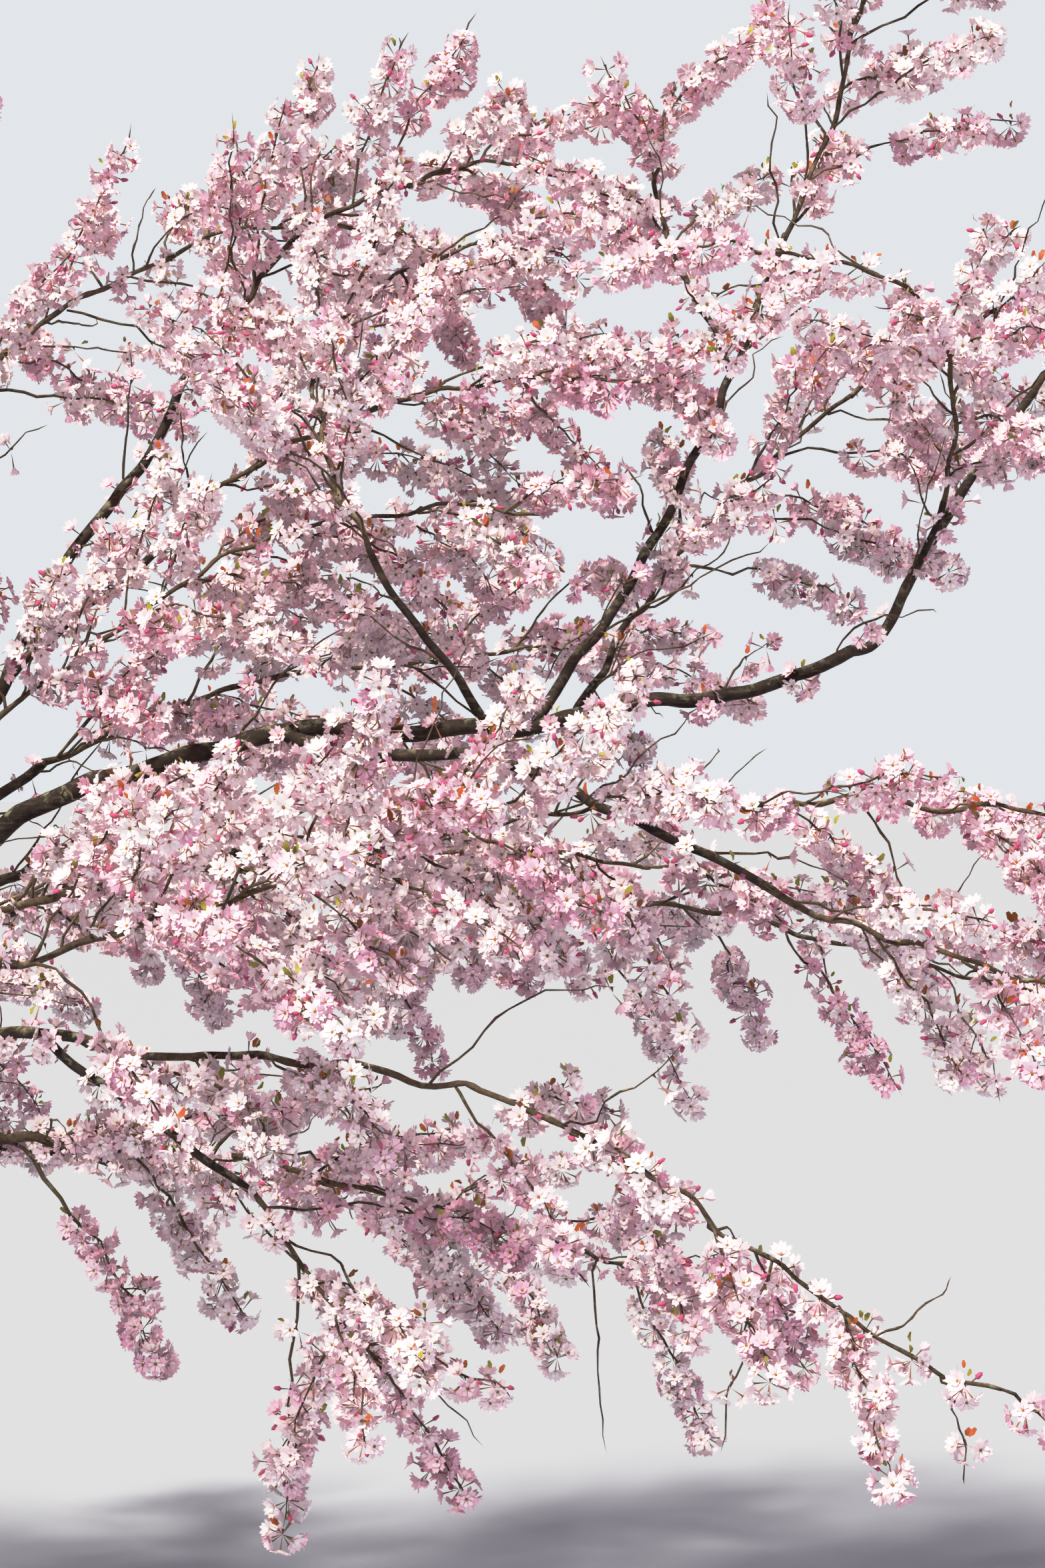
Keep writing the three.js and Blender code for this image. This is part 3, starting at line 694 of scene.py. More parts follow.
@dataclass
class Heap:
    """Loose triangles that become one mesh, with a material number for each."""

    vertices: list[np.ndarray] = field(default_factory=list)
    faces: list[np.ndarray] = field(default_factory=list)
    parts: list[np.ndarray] = field(default_factory=list)
    count: int = 0

    def add(self, vertices: np.ndarray, faces: np.ndarray, parts: np.ndarray | int = 0) -> None:
        """Adds many copies of one shape.

        Args:
            vertices: Vertices by copy.
            faces: Triangles of one copy.
            parts: Material number of each triangle, or of all.
        """
        copies, size = vertices.shape[:2]
        starts = self.count + size * np.arange(copies)
        self.vertices.append(vertices.reshape(-1, 3))
        self.faces.append((faces[None] + starts[:, None, None]).reshape(-1, 3))
        self.parts.append(np.tile(np.broadcast_to(parts, len(faces)), copies))
        self.count += copies * size

    def triangles(self) -> int:
        """Returns how many triangles there are."""
        return sum(map(len, self.faces))

    def to_piece(self, name: str, materials: Iterable[bpy.types.Material]) -> bpy.types.Object:
        """Joins all into one mesh object at the origin.

        Args:
            name: Name of the piece.
            materials: Its materials, by number.

        Returns:
            The object.
        """
        vertices, faces = np.concatenate(self.vertices) * MM, np.concatenate(self.faces)
        mesh = bpy.data.meshes.new(name)
        mesh.vertices.add(len(vertices))
        mesh.vertices.foreach_set("co", vertices.astype(np.float32).ravel())
        mesh.loops.add(faces.size)
        mesh.loops.foreach_set("vertex_index", faces.astype(np.int32).ravel())
        mesh.polygons.add(len(faces))
        mesh.polygons.foreach_set("loop_start", np.arange(0, faces.size, 3, dtype=np.int32))
        for material in materials:
            mesh.materials.append(material)
        mesh.polygons.foreach_set("material_index", np.concatenate(self.parts).astype(np.int32))
        mesh.polygons.foreach_set("use_smooth", np.ones(len(faces), bool))
        mesh.update(calc_edges=True)
        piece = bpy.data.objects.new(name, mesh)
        bpy.context.scene.collection.objects.link(piece)
        return piece


class FlowerPart(Enum):
    """What a face of a flower belongs to; the value is its material number."""

    OUTER = 0
    INNER = 1
    EYE = 2


class FlowerForm(Enum):
    """How far a flower has opened."""

    WIDE = "wide"
    CUPPED = "cupped"
    HALF = "half"
    BUD = "bud"


# Share of a petal's length where it is widest, how far its edges curve up, and its width near the notch.
PETAL_WAIST, PETAL_HOLLOW, PETAL_TIP = 0.6, 0.3, 0.6
RUFFLES = 3.3
# Beyond this a corner lies at an end of the unit plane that a petal is modelled from.
PLANE_END = 0.4


@dataclass(frozen=True)
class PetalRing:
    """A ring of petals: their number, sizes in millimetres, and how they stand, in degrees."""

    count: int
    length: float
    width: float
    lift: float
    curl: float
    start: float
    part: FlowerPart
    notch: float = 0.14
    turn: float = 0.0
    ruffle: float = 1.3

    def place(self, along_petal: float, across: float) -> Vector:
        """Bends a point of the flat petal up and over.

        Args:
            along_petal: Share of the length from the root.
            across: Share of the width from the middle.

        Returns:
            The point in millimetres.
        """
        low, high = math.radians(self.lift), math.radians(self.lift + self.curl)
        near = min(along_petal, PETAL_WAIST) * self.length
        far = max(along_petal - PETAL_WAIST, 0) * self.length
        x = self.start + near * math.cos(low) + far * math.cos(high)
        z = near * math.sin(low) + far * math.sin(high) + abs(across) * PETAL_HOLLOW * self.width
        return Vector((x, across * self.width, z))


def start_shape(add: Callable[..., set[str]], **sizes: object) -> bpy.types.Object:
    """Adds a primitive with nothing else selected and opens it for editing.

    Args:
        add: The operator that adds it.
        sizes: What the operator takes.

    Returns:
        The new object, in edit mode.
    """
    bpy.ops.object.select_all(action="DESELECT")
    add(**sizes)
    bpy.ops.object.mode_set(mode="EDIT")
    return bpy.context.object


def pick_edges(piece: bpy.types.Object, test: Callable[[Vector, Vector], bool]) -> None:
    """Selects the edges whose two ends pass a test.

    Args:
        piece: Object in edit mode.
        test: Takes both ends.
    """
    bpy.ops.mesh.select_mode(type="EDGE")
    bpy.ops.mesh.select_all(action="DESELECT")
    shape = bmesh.from_edit_mesh(piece.data)
    for edge in shape.edges:
        edge.select_set(test(edge.verts[0].co, edge.verts[1].co))
    shape.select_flush_mode()
    bmesh.update_edit_mesh(piece.data)


def take_mesh(piece: bpy.types.Object) -> tuple[np.ndarray, np.ndarray]:
    """Closes a model and takes its mesh, which is then copied many times.

    Args:
        piece: Object in edit mode. It is removed.

    Returns:
        Its vertices and triangles.
    """
    bpy.ops.mesh.select_all(action="SELECT")
    bpy.ops.mesh.quads_convert_to_tris()
    bpy.ops.object.mode_set(mode="OBJECT")
    mesh = piece.data
    vertices, faces = np.empty(len(mesh.vertices) * 3), np.empty(len(mesh.polygons) * 3, np.int32)
    mesh.vertices.foreach_get("co", vertices)
    mesh.polygons.foreach_get("vertices", faces)
    bpy.data.objects.remove(piece)
    bpy.data.meshes.remove(mesh)
    return vertices.reshape(-1, 3), faces.reshape(-1, 3)


def model_petals(ring: PetalRing) -> tuple[np.ndarray, np.ndarray]:
    """Models one notched petal from a plane and turns copies of it around the flower.

    Args:
        ring: Sizes of the ring.

    Returns:
        Vertices and triangles of the whole ring, in millimetres.
    """
    petal = start_shape(bpy.ops.mesh.primitive_plane_add, size=1)
    pick_edges(petal, lambda a, b: a.y * b.y > PLANE_END / 2)
    bpy.ops.mesh.subdivide(number_cuts=1)
    pick_edges(petal, lambda a, b: max(a.x, b.x) < -PLANE_END)
    bpy.ops.mesh.merge(type="CENTER")
    pick_edges(petal, lambda a, b: min(a.x, b.x) > PLANE_END)
    if ring.part is FlowerPart.OUTER:
        bpy.ops.mesh.subdivide(number_cuts=1)
    else:
        bpy.ops.mesh.merge(type="CENTER")
    shape = bmesh.from_edit_mesh(petal.data)
    for corner in shape.verts:
        x, y = corner.co.x, corner.co.y
        if x < -PLANE_END:
            corner.co = ring.place(0.0, y)
        elif x < PLANE_END:
            corner.co = ring.place(PETAL_WAIST, y)
        elif abs(y) > PLANE_END:
            corner.co = ring.place(1.0, y * PETAL_TIP)
        else:
            corner.co = ring.place(1.0 - ring.notch, 0.0)
    bmesh.update_edit_mesh(petal.data)
    bpy.ops.mesh.select_all(action="SELECT")
    angle = 2 * math.pi * (ring.count - 1) / ring.count
    bpy.ops.mesh.spin(steps=ring.count - 1, dupli=True, angle=angle, center=(0, 0, 0), axis=(0, 0, 1))
    vertices, faces = take_mesh(petal)
    out = np.hypot(vertices[:, 0], vertices[:, 1]) / ring.length
    around = np.arctan2(vertices[:, 1], vertices[:, 0])
    vertices[:, 2] += ring.ruffle * out * np.sin(RUFFLES * around + ring.turn)
    c, s = math.cos(ring.turn), math.sin(ring.turn)
    return vertices @ np.array(((c, s, 0), (-s, c, 0), (0, 0, 1))), faces


def model_cone(radius: float, low: float, high: float, corners: int) -> tuple[np.ndarray, np.ndarray]:
    """Models a small open cone, for the eye of a flower.

    Args:
        radius: Radius of its rim.
        low: Height of its rim.
        high: Height of its point.
        corners: Corners around.

    Returns:
        Vertices and triangles in millimetres.
    """
    sizes = {"vertices": corners, "radius1": radius, "radius2": 0, "depth": high - low}
    cone = start_shape(bpy.ops.mesh.primitive_cone_add, end_fill_type="NOTHING", **sizes)
    vertices, faces = take_mesh(cone)
    vertices[:, 2] += (high + low) / 2
    return vertices, faces


# A bud's width at its foot over its radius, and how much of that it loses up to its tip.
BUD_FOOT, BUD_TAPER = 1.15, 0.5


def model_bud(radius: float, low: float, high: float) -> tuple[np.ndarray, np.ndarray]:
    """Models a bud: a four-sided ball drawn out to a point.

    Args:
        radius: Its greatest radius.
        low: Height of its root.
        high: Height of its tip.

    Returns:
        Vertices and triangles in millimetres.
    """
    bud = start_shape(bpy.ops.mesh.primitive_uv_sphere_add, segments=4, ring_count=3, radius=1)
    bpy.ops.transform.resize(value=(radius, radius, (high - low) / 2), center_override=(0, 0, 0))
    vertices, faces = take_mesh(bud)
    share = (vertices[:, 2] + (high - low) / 2) / (high - low)
    vertices[:, :2] *= (BUD_FOOT - BUD_TAPER * share)[:, None]
    vertices[:, 2] += (high + low) / 2
    return vertices, faces


@dataclass
class Flower:
    """One flower of a form, modelled once: its vertices, triangles and the part that each triangle is of."""

    vertices: np.ndarray
    faces: np.ndarray
    parts: np.ndarray

    @classmethod
    def of(cls, models: Iterable[tuple[np.ndarray, np.ndarray, FlowerPart]]) -> "Flower":
        """Joins modelled parts into a flower.

        Args:
            models: Vertices, triangles and part of each.

        Returns:
            The flower.
        """
        vertices, faces, parts, count = [], [], [], 0
        for points, corners, part in models:
            vertices.append(points)
            faces.append(corners + count)
            parts.append(np.full(len(corners), part.value))
            count += len(points)
        return cls(np.vstack(vertices), np.vstack(faces), np.concatenate(parts))


PETALS = {
    FlowerForm.WIDE: (
        PetalRing(6, 15.0, 9.4, 12, -8, 1.4, FlowerPart.OUTER),
        PetalRing(6, 12.0, 6.6, 30, 4, 1.0, FlowerPart.INNER, turn=0.52),
    ),
    FlowerForm.CUPPED: (
        PetalRing(6, 15.0, 9.8, 30, 4, 1.2, FlowerPart.OUTER),
        PetalRing(5, 11.5, 7.0, 52, 6, 0.8, FlowerPart.INNER, turn=0.5),
    ),
    FlowerForm.HALF: (
        PetalRing(5, 13.0, 9.0, 58, 14, 1.0, FlowerPart.OUTER, ruffle=0.4),
        PetalRing(3, 11.0, 8.0, 70, 8, 0.6, FlowerPart.INNER, turn=0.4, ruffle=0.3),
    ),
}
# Height of the petals' root, the eye's radius, foot and top and its corners, and a bud's radius, foot and
# top.
PETAL_ROOT = 4.0
EYE, EYE_CORNERS = (2.7, 4.6, 7.6), 4
BUD = (3.9, 1.0, 13.0)


def model_flowers() -> dict[FlowerForm, Flower]:
    """Models one flower of each form.

    Returns:
        The flowers, standing on the origin and facing up.
    """
    flowers = {}
    for form, rings in PETALS.items():
        models = []
        for ring in rings:
            vertices, faces = model_petals(ring)
            vertices[:, 2] += PETAL_ROOT
            models.append((vertices, faces, ring.part))
        if form is not FlowerForm.HALF:
            models.append((*model_cone(*EYE, EYE_CORNERS), FlowerPart.EYE))
        flowers[form] = Flower.of(models)
    flowers[FlowerForm.BUD] = Flower.of([(*model_bud(*BUD), FlowerPart.OUTER)])
    return flowers


# A leaf's width over that of a circle, how steeply it folds up from its midrib, and how its ends droop from
# where it is highest.
LEAF_WIDTH, LEAF_FOLD, LEAF_DROOP, LEAF_TOP = 0.5, 0.4, 0.3, 0.4


def model_leaf() -> tuple[np.ndarray, np.ndarray]:
    """Models a young leaf, folded along its midrib, of length one along +X.

    Returns:
        Vertices and triangles.
    """
    leaf = start_shape(bpy.ops.mesh.primitive_circle_add, vertices=6, radius=0.5, fill_type="NGON")
    bpy.ops.transform.translate(value=(0.5, 0, 0))
    shape = bmesh.from_edit_mesh(leaf.data)
    for corner in shape.verts:
        x, y = corner.co.x, corner.co.y
        corner.co = Vector((x, y * LEAF_WIDTH, abs(y) * LEAF_FOLD - LEAF_DROOP * (x - LEAF_TOP) ** 2))
    bmesh.update_edit_mesh(leaf.data)
    return take_mesh(leaf)


def bases(facing: np.ndarray, spin: np.ndarray) -> np.ndarray:
    """Builds frames whose third axis faces given ways.

    Args:
        facing: Unit directions.
        spin: Turn of each frame about its own direction.

    Returns:
        One matrix a row, with the axes as its rows.
    """
    side = unit(np.cross(facing, np.where(np.abs(facing[:, 2:]) > FLOWER_STEEP, (1.0, 0.0, 0.0), UP)))
    across = np.cross(facing, side)
    c, s = np.cos(spin)[:, None], np.sin(spin)[:, None]
    return np.stack([side * c + across * s, across * c - side * s, facing], axis=1)


@dataclass(frozen=True)
class Habit:
    """How blossom stands on shoots: distances in millimetres, numbers and shares.

    A gap is the distance between bunches, a bunch the fewest and most flowers in one, a start the share of
    the shoot where they begin, and a fullness the share of the places that are taken.
    """

    spray_gap: float = 48.0
    spray_bunch: tuple[int, int] = (8, 12)
    side_bunch: tuple[int, int] = (6, 9)
    twig_gap: float = 76.0
    twig_start: float = 0.15
    twig_fullness: float = 0.5
    long_twig: float = 380.0
    long_fullness: float = 0.8
    bare_bunch: tuple[int, int] = (4, 8)
    stem_gap: float = 74.0
    stem_start: float = 0.1
    trunk_start: float = 0.3
    stem_fullness: float = 0.75
    limb_gap: float = 75.0
    limb_start: float = 0.2
    limb_fullness: float = 0.7
    shoot_bunch: tuple[int, int] = (1, 4)
    shoot_start: float = 0.3
    shoot_fullness: float = 0.3
    first_gap: tuple[float, float] = (0.2, 0.5)
    next_gap: tuple[float, float] = (0.8, 1.2)
    stalk: tuple[float, float] = (14.0, 22.0)
    sag: float = 0.22
    hang: float = 7.0
    sway: float = 5.0
    spur: float = 2.0
    crown: float = 0.92
    stray: float = 0.25
    upright: float = 0.8
    upright_share: float = 0.35
    tilt: float = 0.1
    nod: float = 0.2
    stalk_sink: float = 4.5
    own_tone: float = 0.72
    flower: tuple[float, float] = (0.95, 1.13)
    buds: float = 0.04
    half_open: float = 0.14
    wide_open: float = 0.62
    tip_buds: float = 0.1
    leaves: tuple[int, int] = (0, 4)
    leaf_rise: tuple[float, float] = (0.5, 1.2)
    leaf_stray: float = 0.5
    leaf_foot: tuple[float, float] = (3.0, 20.0)
    leaf_length: tuple[float, float] = (9.0, 18.0)
    green_leaves: float = 0.45


class Tone(Enum):
    """Shade of a spray's petals: the colours of its outer and inner petals, and its share of the sprays."""

    SNOW = ("#faeff5", "#fffcfe", 0.44)
    SHELL = ("#f7e2ec", "#fdf4f8", 0.36)
    ROSE = ("#f2d3e2", "#fae9f1", 0.16)
    DEEP = ("#e8bfd6", "#f3d8e5", 0.04)


TONES = tuple(Tone)


def warp(points: np.ndarray, reach: float, size: float) -> np.ndarray:
    """Bends points sideways by a smooth field of the place, so that what meets still meets.

    Args:
        points: The points, one a row.
        reach: Strength of the bends in millimetres.
        size: About how far apart the bends are.

    Returns:
        The bent points.
    """
    return np.array([p + reach * np.array(noise.noise_vector(Vector(p) / size)) for p in points])


@dataclass
class Blossoming:
    """Sets flowers, stalks, spurs and leaves along the shoots of the tree."""

    habit: Habit
    rng: np.random.Generator
    flowers: dict[tuple[FlowerForm, Tone], list[np.ndarray]] = field(default_factory=dict)
    stalks: list[np.ndarray] = field(default_factory=list)
    spurs: list[np.ndarray] = field(default_factory=list)
    leaves: list[np.ndarray] = field(default_factory=list)

    def pick_tone(self) -> Tone:
        """Returns a shade by its share of the sprays."""
        return TONES[int(self.rng.choice(len(TONES), p=[tone.value[2] for tone in TONES]))]

    def set_shoot(
        self,
        path: np.ndarray,
        stretch: tuple[float, float],
        gap: float,
        bunch: tuple[int, int],
        tone: Tone,
        fullness: float = 1.0,
    ) -> None:
        """Sets bunches along a shoot.

        Args:
            path: Points of the shoot.
            stretch: Shares of its length where blossom begins and ends.
            gap: Distance between bunches.
            bunch: Fewest and most flowers in a bunch.
            tone: Shade of the shoot.
            fullness: Share of the places that are taken.
        """
        steps = np.linalg.norm(np.diff(path, axis=0), axis=1)
        reach = np.concatenate([[0.0], np.cumsum(steps)])
        at = stretch[0] * reach[-1] + gap * self.rng.uniform(*self.habit.first_gap)
        while at < stretch[1] * reach[-1]:
            if self.rng.random() < fullness:
                k = min(max(int(np.searchsorted(reach, at)), 1), len(path) - 1)
                point = path[k - 1] + (path[k] - path[k - 1]) * (at - reach[k - 1]) / steps[k - 1]
                self.set_bunch(point, unit(path[k] - path[k - 1]), bunch, tone, at / reach[-1])
            at += gap * self.rng.uniform(*self.habit.next_gap)

    def set_bunch(
        self, point: np.ndarray, ahead: np.ndarray, bunch: tuple[int, int], tone: Tone, share: float
    ) -> None:
        """Sets a round bunch of flowers around a spur, with young leaves on top.

        Args:
            point: Point of the shoot.
            ahead: The shoot's direction there.
            bunch: Fewest and most flowers.
            tone: Shade of the spray.
            share: How far along the shoot it is.
        """
        rng, habit = self.rng, self.habit
        side = side_of(ahead)
        over = np.cross(ahead, side)
        count = int(rng.integers(bunch[0], bunch[1] + 1))
        roll = rng.uniform(0, 2 * math.pi)
        heart = point - UP * habit.hang + side * rng.uniform(-habit.sway, habit.sway)
        self.spurs.append(np.concatenate([point, heart + ahead * habit.spur]))
        for i in range(count):
            height = (1 - (2 * i + 1) / count) * habit.crown
            turn = roll + GOLDEN * i + rng.uniform(-habit.stray, habit.stray)
            ring = math.sqrt(1 - height**2)
            out = ahead * height + (side * math.cos(turn) + over * math.sin(turn)) * ring
            if out[2] > habit.upright and rng.random() < habit.upright_share:
                continue
            way = unit(out - UP * habit.sag + rng.normal(0, habit.tilt, 3))
            foot = heart + way * rng.uniform(*habit.stalk)
            facing = unit(way + rng.normal(0, habit.nod, 3))
            self.stalks.append(np.concatenate([foot + facing * habit.stalk_sink, heart]))
            form = self.pick_form(share)
            shade = tone if rng.random() < habit.own_tone else TONES[int(rng.integers(0, len(TONES)))]
            row = np.concatenate([foot, facing, (rng.uniform(0, 2 * math.pi), rng.uniform(*habit.flower))])
            self.flowers.setdefault((form, shade), []).append(row)
        for _ in range(int(rng.integers(*habit.leaves))):
            way = unit(UP * rng.uniform(*habit.leaf_rise) + rng.normal(0, habit.leaf_stray, 3))
            foot = point + way * rng.uniform(*habit.leaf_foot)
            self.leaves.append(np.concatenate([foot, way, (rng.uniform(*habit.leaf_length), rng.random())]))

    def pick_form(self, share: float) -> FlowerForm:
        """Draws how far a flower has opened, with more buds towards the shoot's tip.

        Args:
            share: How far along the shoot it is.

        Returns:
            The form.
        """
        habit, lot = self.habit, self.rng.random()
        if lot < habit.buds + habit.tip_buds * share:
            return FlowerForm.BUD
        if lot < habit.half_open + habit.tip_buds * share:
            return FlowerForm.HALF
        return FlowerForm.WIDE if lot < habit.wide_open else FlowerForm.CUPPED


def even_path(line: np.ndarray, count: int) -> tuple[np.ndarray, np.ndarray]:
    """Spaces points evenly along a line.

    Args:
        line: Points of the line.
        count: Number of points wanted.

    Returns:
        The points, and the share of the length at each of the old ones.
    """
    reach = np.concatenate([[0.0], np.cumsum(np.linalg.norm(np.diff(line, axis=0), axis=1))])
    wanted = np.linspace(0, reach[-1], count)
    return np.stack([np.interp(wanted, reach, line[:, i]) for i in range(3)], axis=1), reach / reach[-1]


def add_shoots(shoots: Sequence[tuple[np.ndarray, np.ndarray]], sides: int, tubing: Heap) -> None:
    """Puts a tube around each of many shoots.

    Args:
        shoots: Points and radii of each.
        sides: Corners around.
        tubing: Takes the tubes.
    """
    paths, radii = zip(*shoots)
    tubing.add(*tubes(np.array(paths), np.array(radii), sides))


@dataclass(frozen=True)
class Wood:
    """How stems, twigs, side shoots and bare shoots are made: sizes in millimetres, numbers and shares.

    A step is the spacing of a smooth line's points, thick the radii at a shoot's root and tip, and a place
    the stretch from which a shoot leaves.
    """

    stem_sides: int = 8
    stem_step: float = 14.0
    stem_share: float = 0.85
    stem_sink: float = 8.0
    stem_tip: float = 6.0
    stem_knobs: float = 0.3
    knob_size: float = 17.0
    knobs: float = 0.28
    twig_points: int = 14
    twig_sides: int = 5
    twig_step: float = 8.0
    twig_thick: tuple[float, float] = (2.1, 1.0)
    bow: float = 0.1
    rise: float = 0.08
    crest: float = 1.2
    crest_sway: float = 7.0
    tip: float = 0.85
    tip_rise: tuple[float, float] = (-6.0, 8.0)
    side_points: int = 4
    side_sides: int = 4
    side_step: float = 10.0
    side_thick: tuple[float, float] = (1.3, 0.9)
    side_length: tuple[float, float] = (26.0, 46.0)
    side_place: tuple[float, float] = (0.1, 0.6)
    side_flat: float = 0.7
    side_ahead: float = 0.9
    side_arch: float = 2.0
    bare_gap: float = 120.0
    bare_points: int = 13
    bare_sides: int = 4
    bare_step: float = 12.0
    bare_thick: tuple[float, float] = (2.0, 0.8)
    bare_length: tuple[float, float] = (110.0, 310.0)
    bare_place: tuple[float, float] = (0.2, 0.9)
    bare_flat: float = 0.6
    bare_rise: float = 0.25
    bare_ahead: float = 0.7
    bare_bend: tuple[float, float] = (-0.32, 0.22)
    bare_stray: float = 0.2
    bare_room: float = 60.0
    stalk_sides: int = 3
    stalk_thick: float = 1.4
    spur_thick: float = 2.6

    def taper(self, ends: tuple[float, float], count: int, rng: np.random.Generator) -> np.ndarray:
        """Tapers a shoot, with knobs drawn along it.

        Args:
            ends: Its radii at root and tip.
            count: Number of its points.
            rng: Draws.

        Returns:
            The radii at its points.
        """
        return np.linspace(*ends, count) * (1 + self.knobs * rng.uniform(-1, 1, count))


# Shares of a bare shoot's length at its second and third corners and in its last stretch, how far it is bent
# at the third corner, and how much more it bends after that.
BEND_AT, BEND_ON, LAST_STRETCH = 0.4, 0.75, 0.3
BENT, MORE_BENT = 0.4, 2.4
# Which corner of a twig's line is its spray's neck.
NECK_CORNER = 2.0
# How leaves are turned about their own line, by the draw that also gives them their colour.
LEAF_SPIN = 40.0


@dataclass
class BlossomMasses:
    """The masses: stems, twigs carried on to side shoots, and the blossom, buds and leaves on them."""

    growth: Growth
    solids: tuple[Vector, Vector]
    seed: int = 20
    habit: Habit = field(default_factory=Habit)
    wood: Wood = field(default_factory=Wood)

    def build(self, finishes: "Finishes") -> list[bpy.types.Object]:
        """Builds and dresses every piece of the masses.

        Args:
            finishes: The materials.

        Returns:
            The pieces.
        """
        tubing, blossoming = Heap(), Blossoming(self.habit, np.random.default_rng(self.seed))
        for mass in MASSES:
            self.build_stem(mass, tubing, blossoming)
            self.build_twigs(mass, tubing, blossoming)
        self.dot_limbs(blossoming)
        self.grow_bare_shoots(tubing, blossoming)
        names = [f"blossom_{mass.name}" for mass in MASSES]
        pieces = [tubing.to_piece("twigs", [finishes.twig])]
        pieces += self.build_stalks(blossoming, finishes)
        pieces += self.build_flowers(blossoming, finishes)
        for piece in pieces:
            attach(piece, "root")
            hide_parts(*names)
        return pieces

    def build_stem(self, mass: Mass, tubing: Heap, blossoming: Blossoming) -> None:
        """Builds a mass's stem, sunk into the limb it grows from, and sets bunches along it.

        Args:
            mass: The mass.
            tubing: Takes the stem's tube.
            blossoming: Takes its blossom.
        """
        stem, wood, habit = self.growth.stems[mass.name], self.wood, self.habit
        points, places, radii = stem.trace(wood.stem_step)
        thinner = 1 - (1 - wood.stem_share) * np.minimum(places, 1)
        knobs = np.array([noise.noise(Vector(p) / wood.knob_size) for p in points])
        radii = radii * thinner * (1 + wood.stem_knobs * knobs)
        sunk = points[0] - unit(points[1] - points[0]) * wood.stem_sink
        tip = points[-1] + unit(points[-1] - points[-2]) * wood.stem_tip
        points = warp(np.vstack([sunk, points, tip]), *CROOKS)
        radii = np.concatenate([[radii[0]], radii, [0.0]])
        tubing.add(*tubes(points[None], radii[None], wood.stem_sides))
        stretch = (habit.trunk_start if mass.at < 1 else habit.stem_start, 1.0)
        tone = blossoming.pick_tone()
        blossoming.set_shoot(points, stretch, habit.stem_gap, habit.side_bunch, tone, habit.stem_fullness)

    def build_twigs(self, mass: Mass, tubing: Heap, blossoming: Blossoming) -> None:
        """Builds a mass's twigs, each with a side shoot, and sets bunches along them.

        Args:
            mass: The mass.
            tubing: Takes their tubes.
            blossoming: Takes their blossom.
        """
        wood, habit, rng = self.wood, self.habit, blossoming.rng
        fullness = habit.long_fullness if mass.twig >= habit.long_twig else habit.twig_fullness
        twigs, sides = [], []
        for twig in self.growth.twigs[mass.name]:
            tone = blossoming.pick_tone()
            path, neck = self.lay_twig(twig, rng)
            thick = max(twig.thick, wood.twig_thick[0])
            twigs.append((path, wood.taper((thick, wood.twig_thick[1]), len(path), rng)))
            bare = (habit.twig_start, neck)
            blossoming.set_shoot(path, bare, habit.twig_gap, habit.bare_bunch, tone, fullness)
            blossoming.set_shoot(path, (neck, 1.0), habit.spray_gap, habit.spray_bunch, tone)
            sides.append(self.grow_side(path, neck, tone, blossoming))
        add_shoots(twigs, wood.twig_sides, tubing)
        add_shoots(sides, wood.side_sides, tubing)
        log.info("mass %s: %d twigs", mass.name, len(twigs))

    def dot_limbs(self, blossoming: Blossoming) -> None:
        """Sets a few bunches on the thinner stretches of the boughs.

        Args:
            blossoming: Takes them.
        """
        habit = self.habit
        for bough in BOUGHS:
            points, _, radii = self.growth.limbs[bough.name].trace(self.wood.stem_step)
            thin = np.flatnonzero(radii < THIN_LIMB)
            if len(thin) > 1:
                stretch = (max(float(thin[0]) / len(points), habit.limb_start), 1.0)
                path, tone, gap = warp(points, *CROOKS), blossoming.pick_tone(), habit.limb_gap
                blossoming.set_shoot(path, stretch, gap, habit.bare_bunch, tone, habit.limb_fullness)

    def grow_bare_shoots(self, tubing: Heap, blossoming: Blossoming) -> None:
        """Grows long bare shoots that arch out between the sprays, with a few flowers on them.

        Args:
            tubing: Takes their tubes.
            blossoming: Takes their blossom.
        """
        wood, habit, rng, shoots = self.wood, self.habit, blossoming.rng, []
        low, high = (np.array(corner) / MM for corner in self.solids)
        for limb in (*self.growth.stems.values(), *(self.growth.limbs[bough.name] for bough in BOUGHS)):
            line, _ = smooth(limb.points, wood.stem_step)
            count = int(len(line) * wood.stem_step / wood.bare_gap)
            for k in range(count):
                point, ahead = on_course(line, (k + rng.uniform(*wood.bare_place)) / count)
                path = self.lay_bare_shoot(point, ahead, rng)
                if (path > low + wood.bare_room).all() and (path < high - wood.bare_room).all():
                    shoots.append((path, wood.taper(wood.bare_thick, wood.bare_points, rng)))
                    bunch, gap, fullness = habit.shoot_bunch, habit.twig_gap, habit.shoot_fullness
                    stretch, tone = (habit.shoot_start, 1.0), blossoming.pick_tone()
                    blossoming.set_shoot(path, stretch, gap, bunch, tone, fullness)
        log.info("bare shoots: %d", len(shoots))
        add_shoots(shoots, wood.bare_sides, tubing)

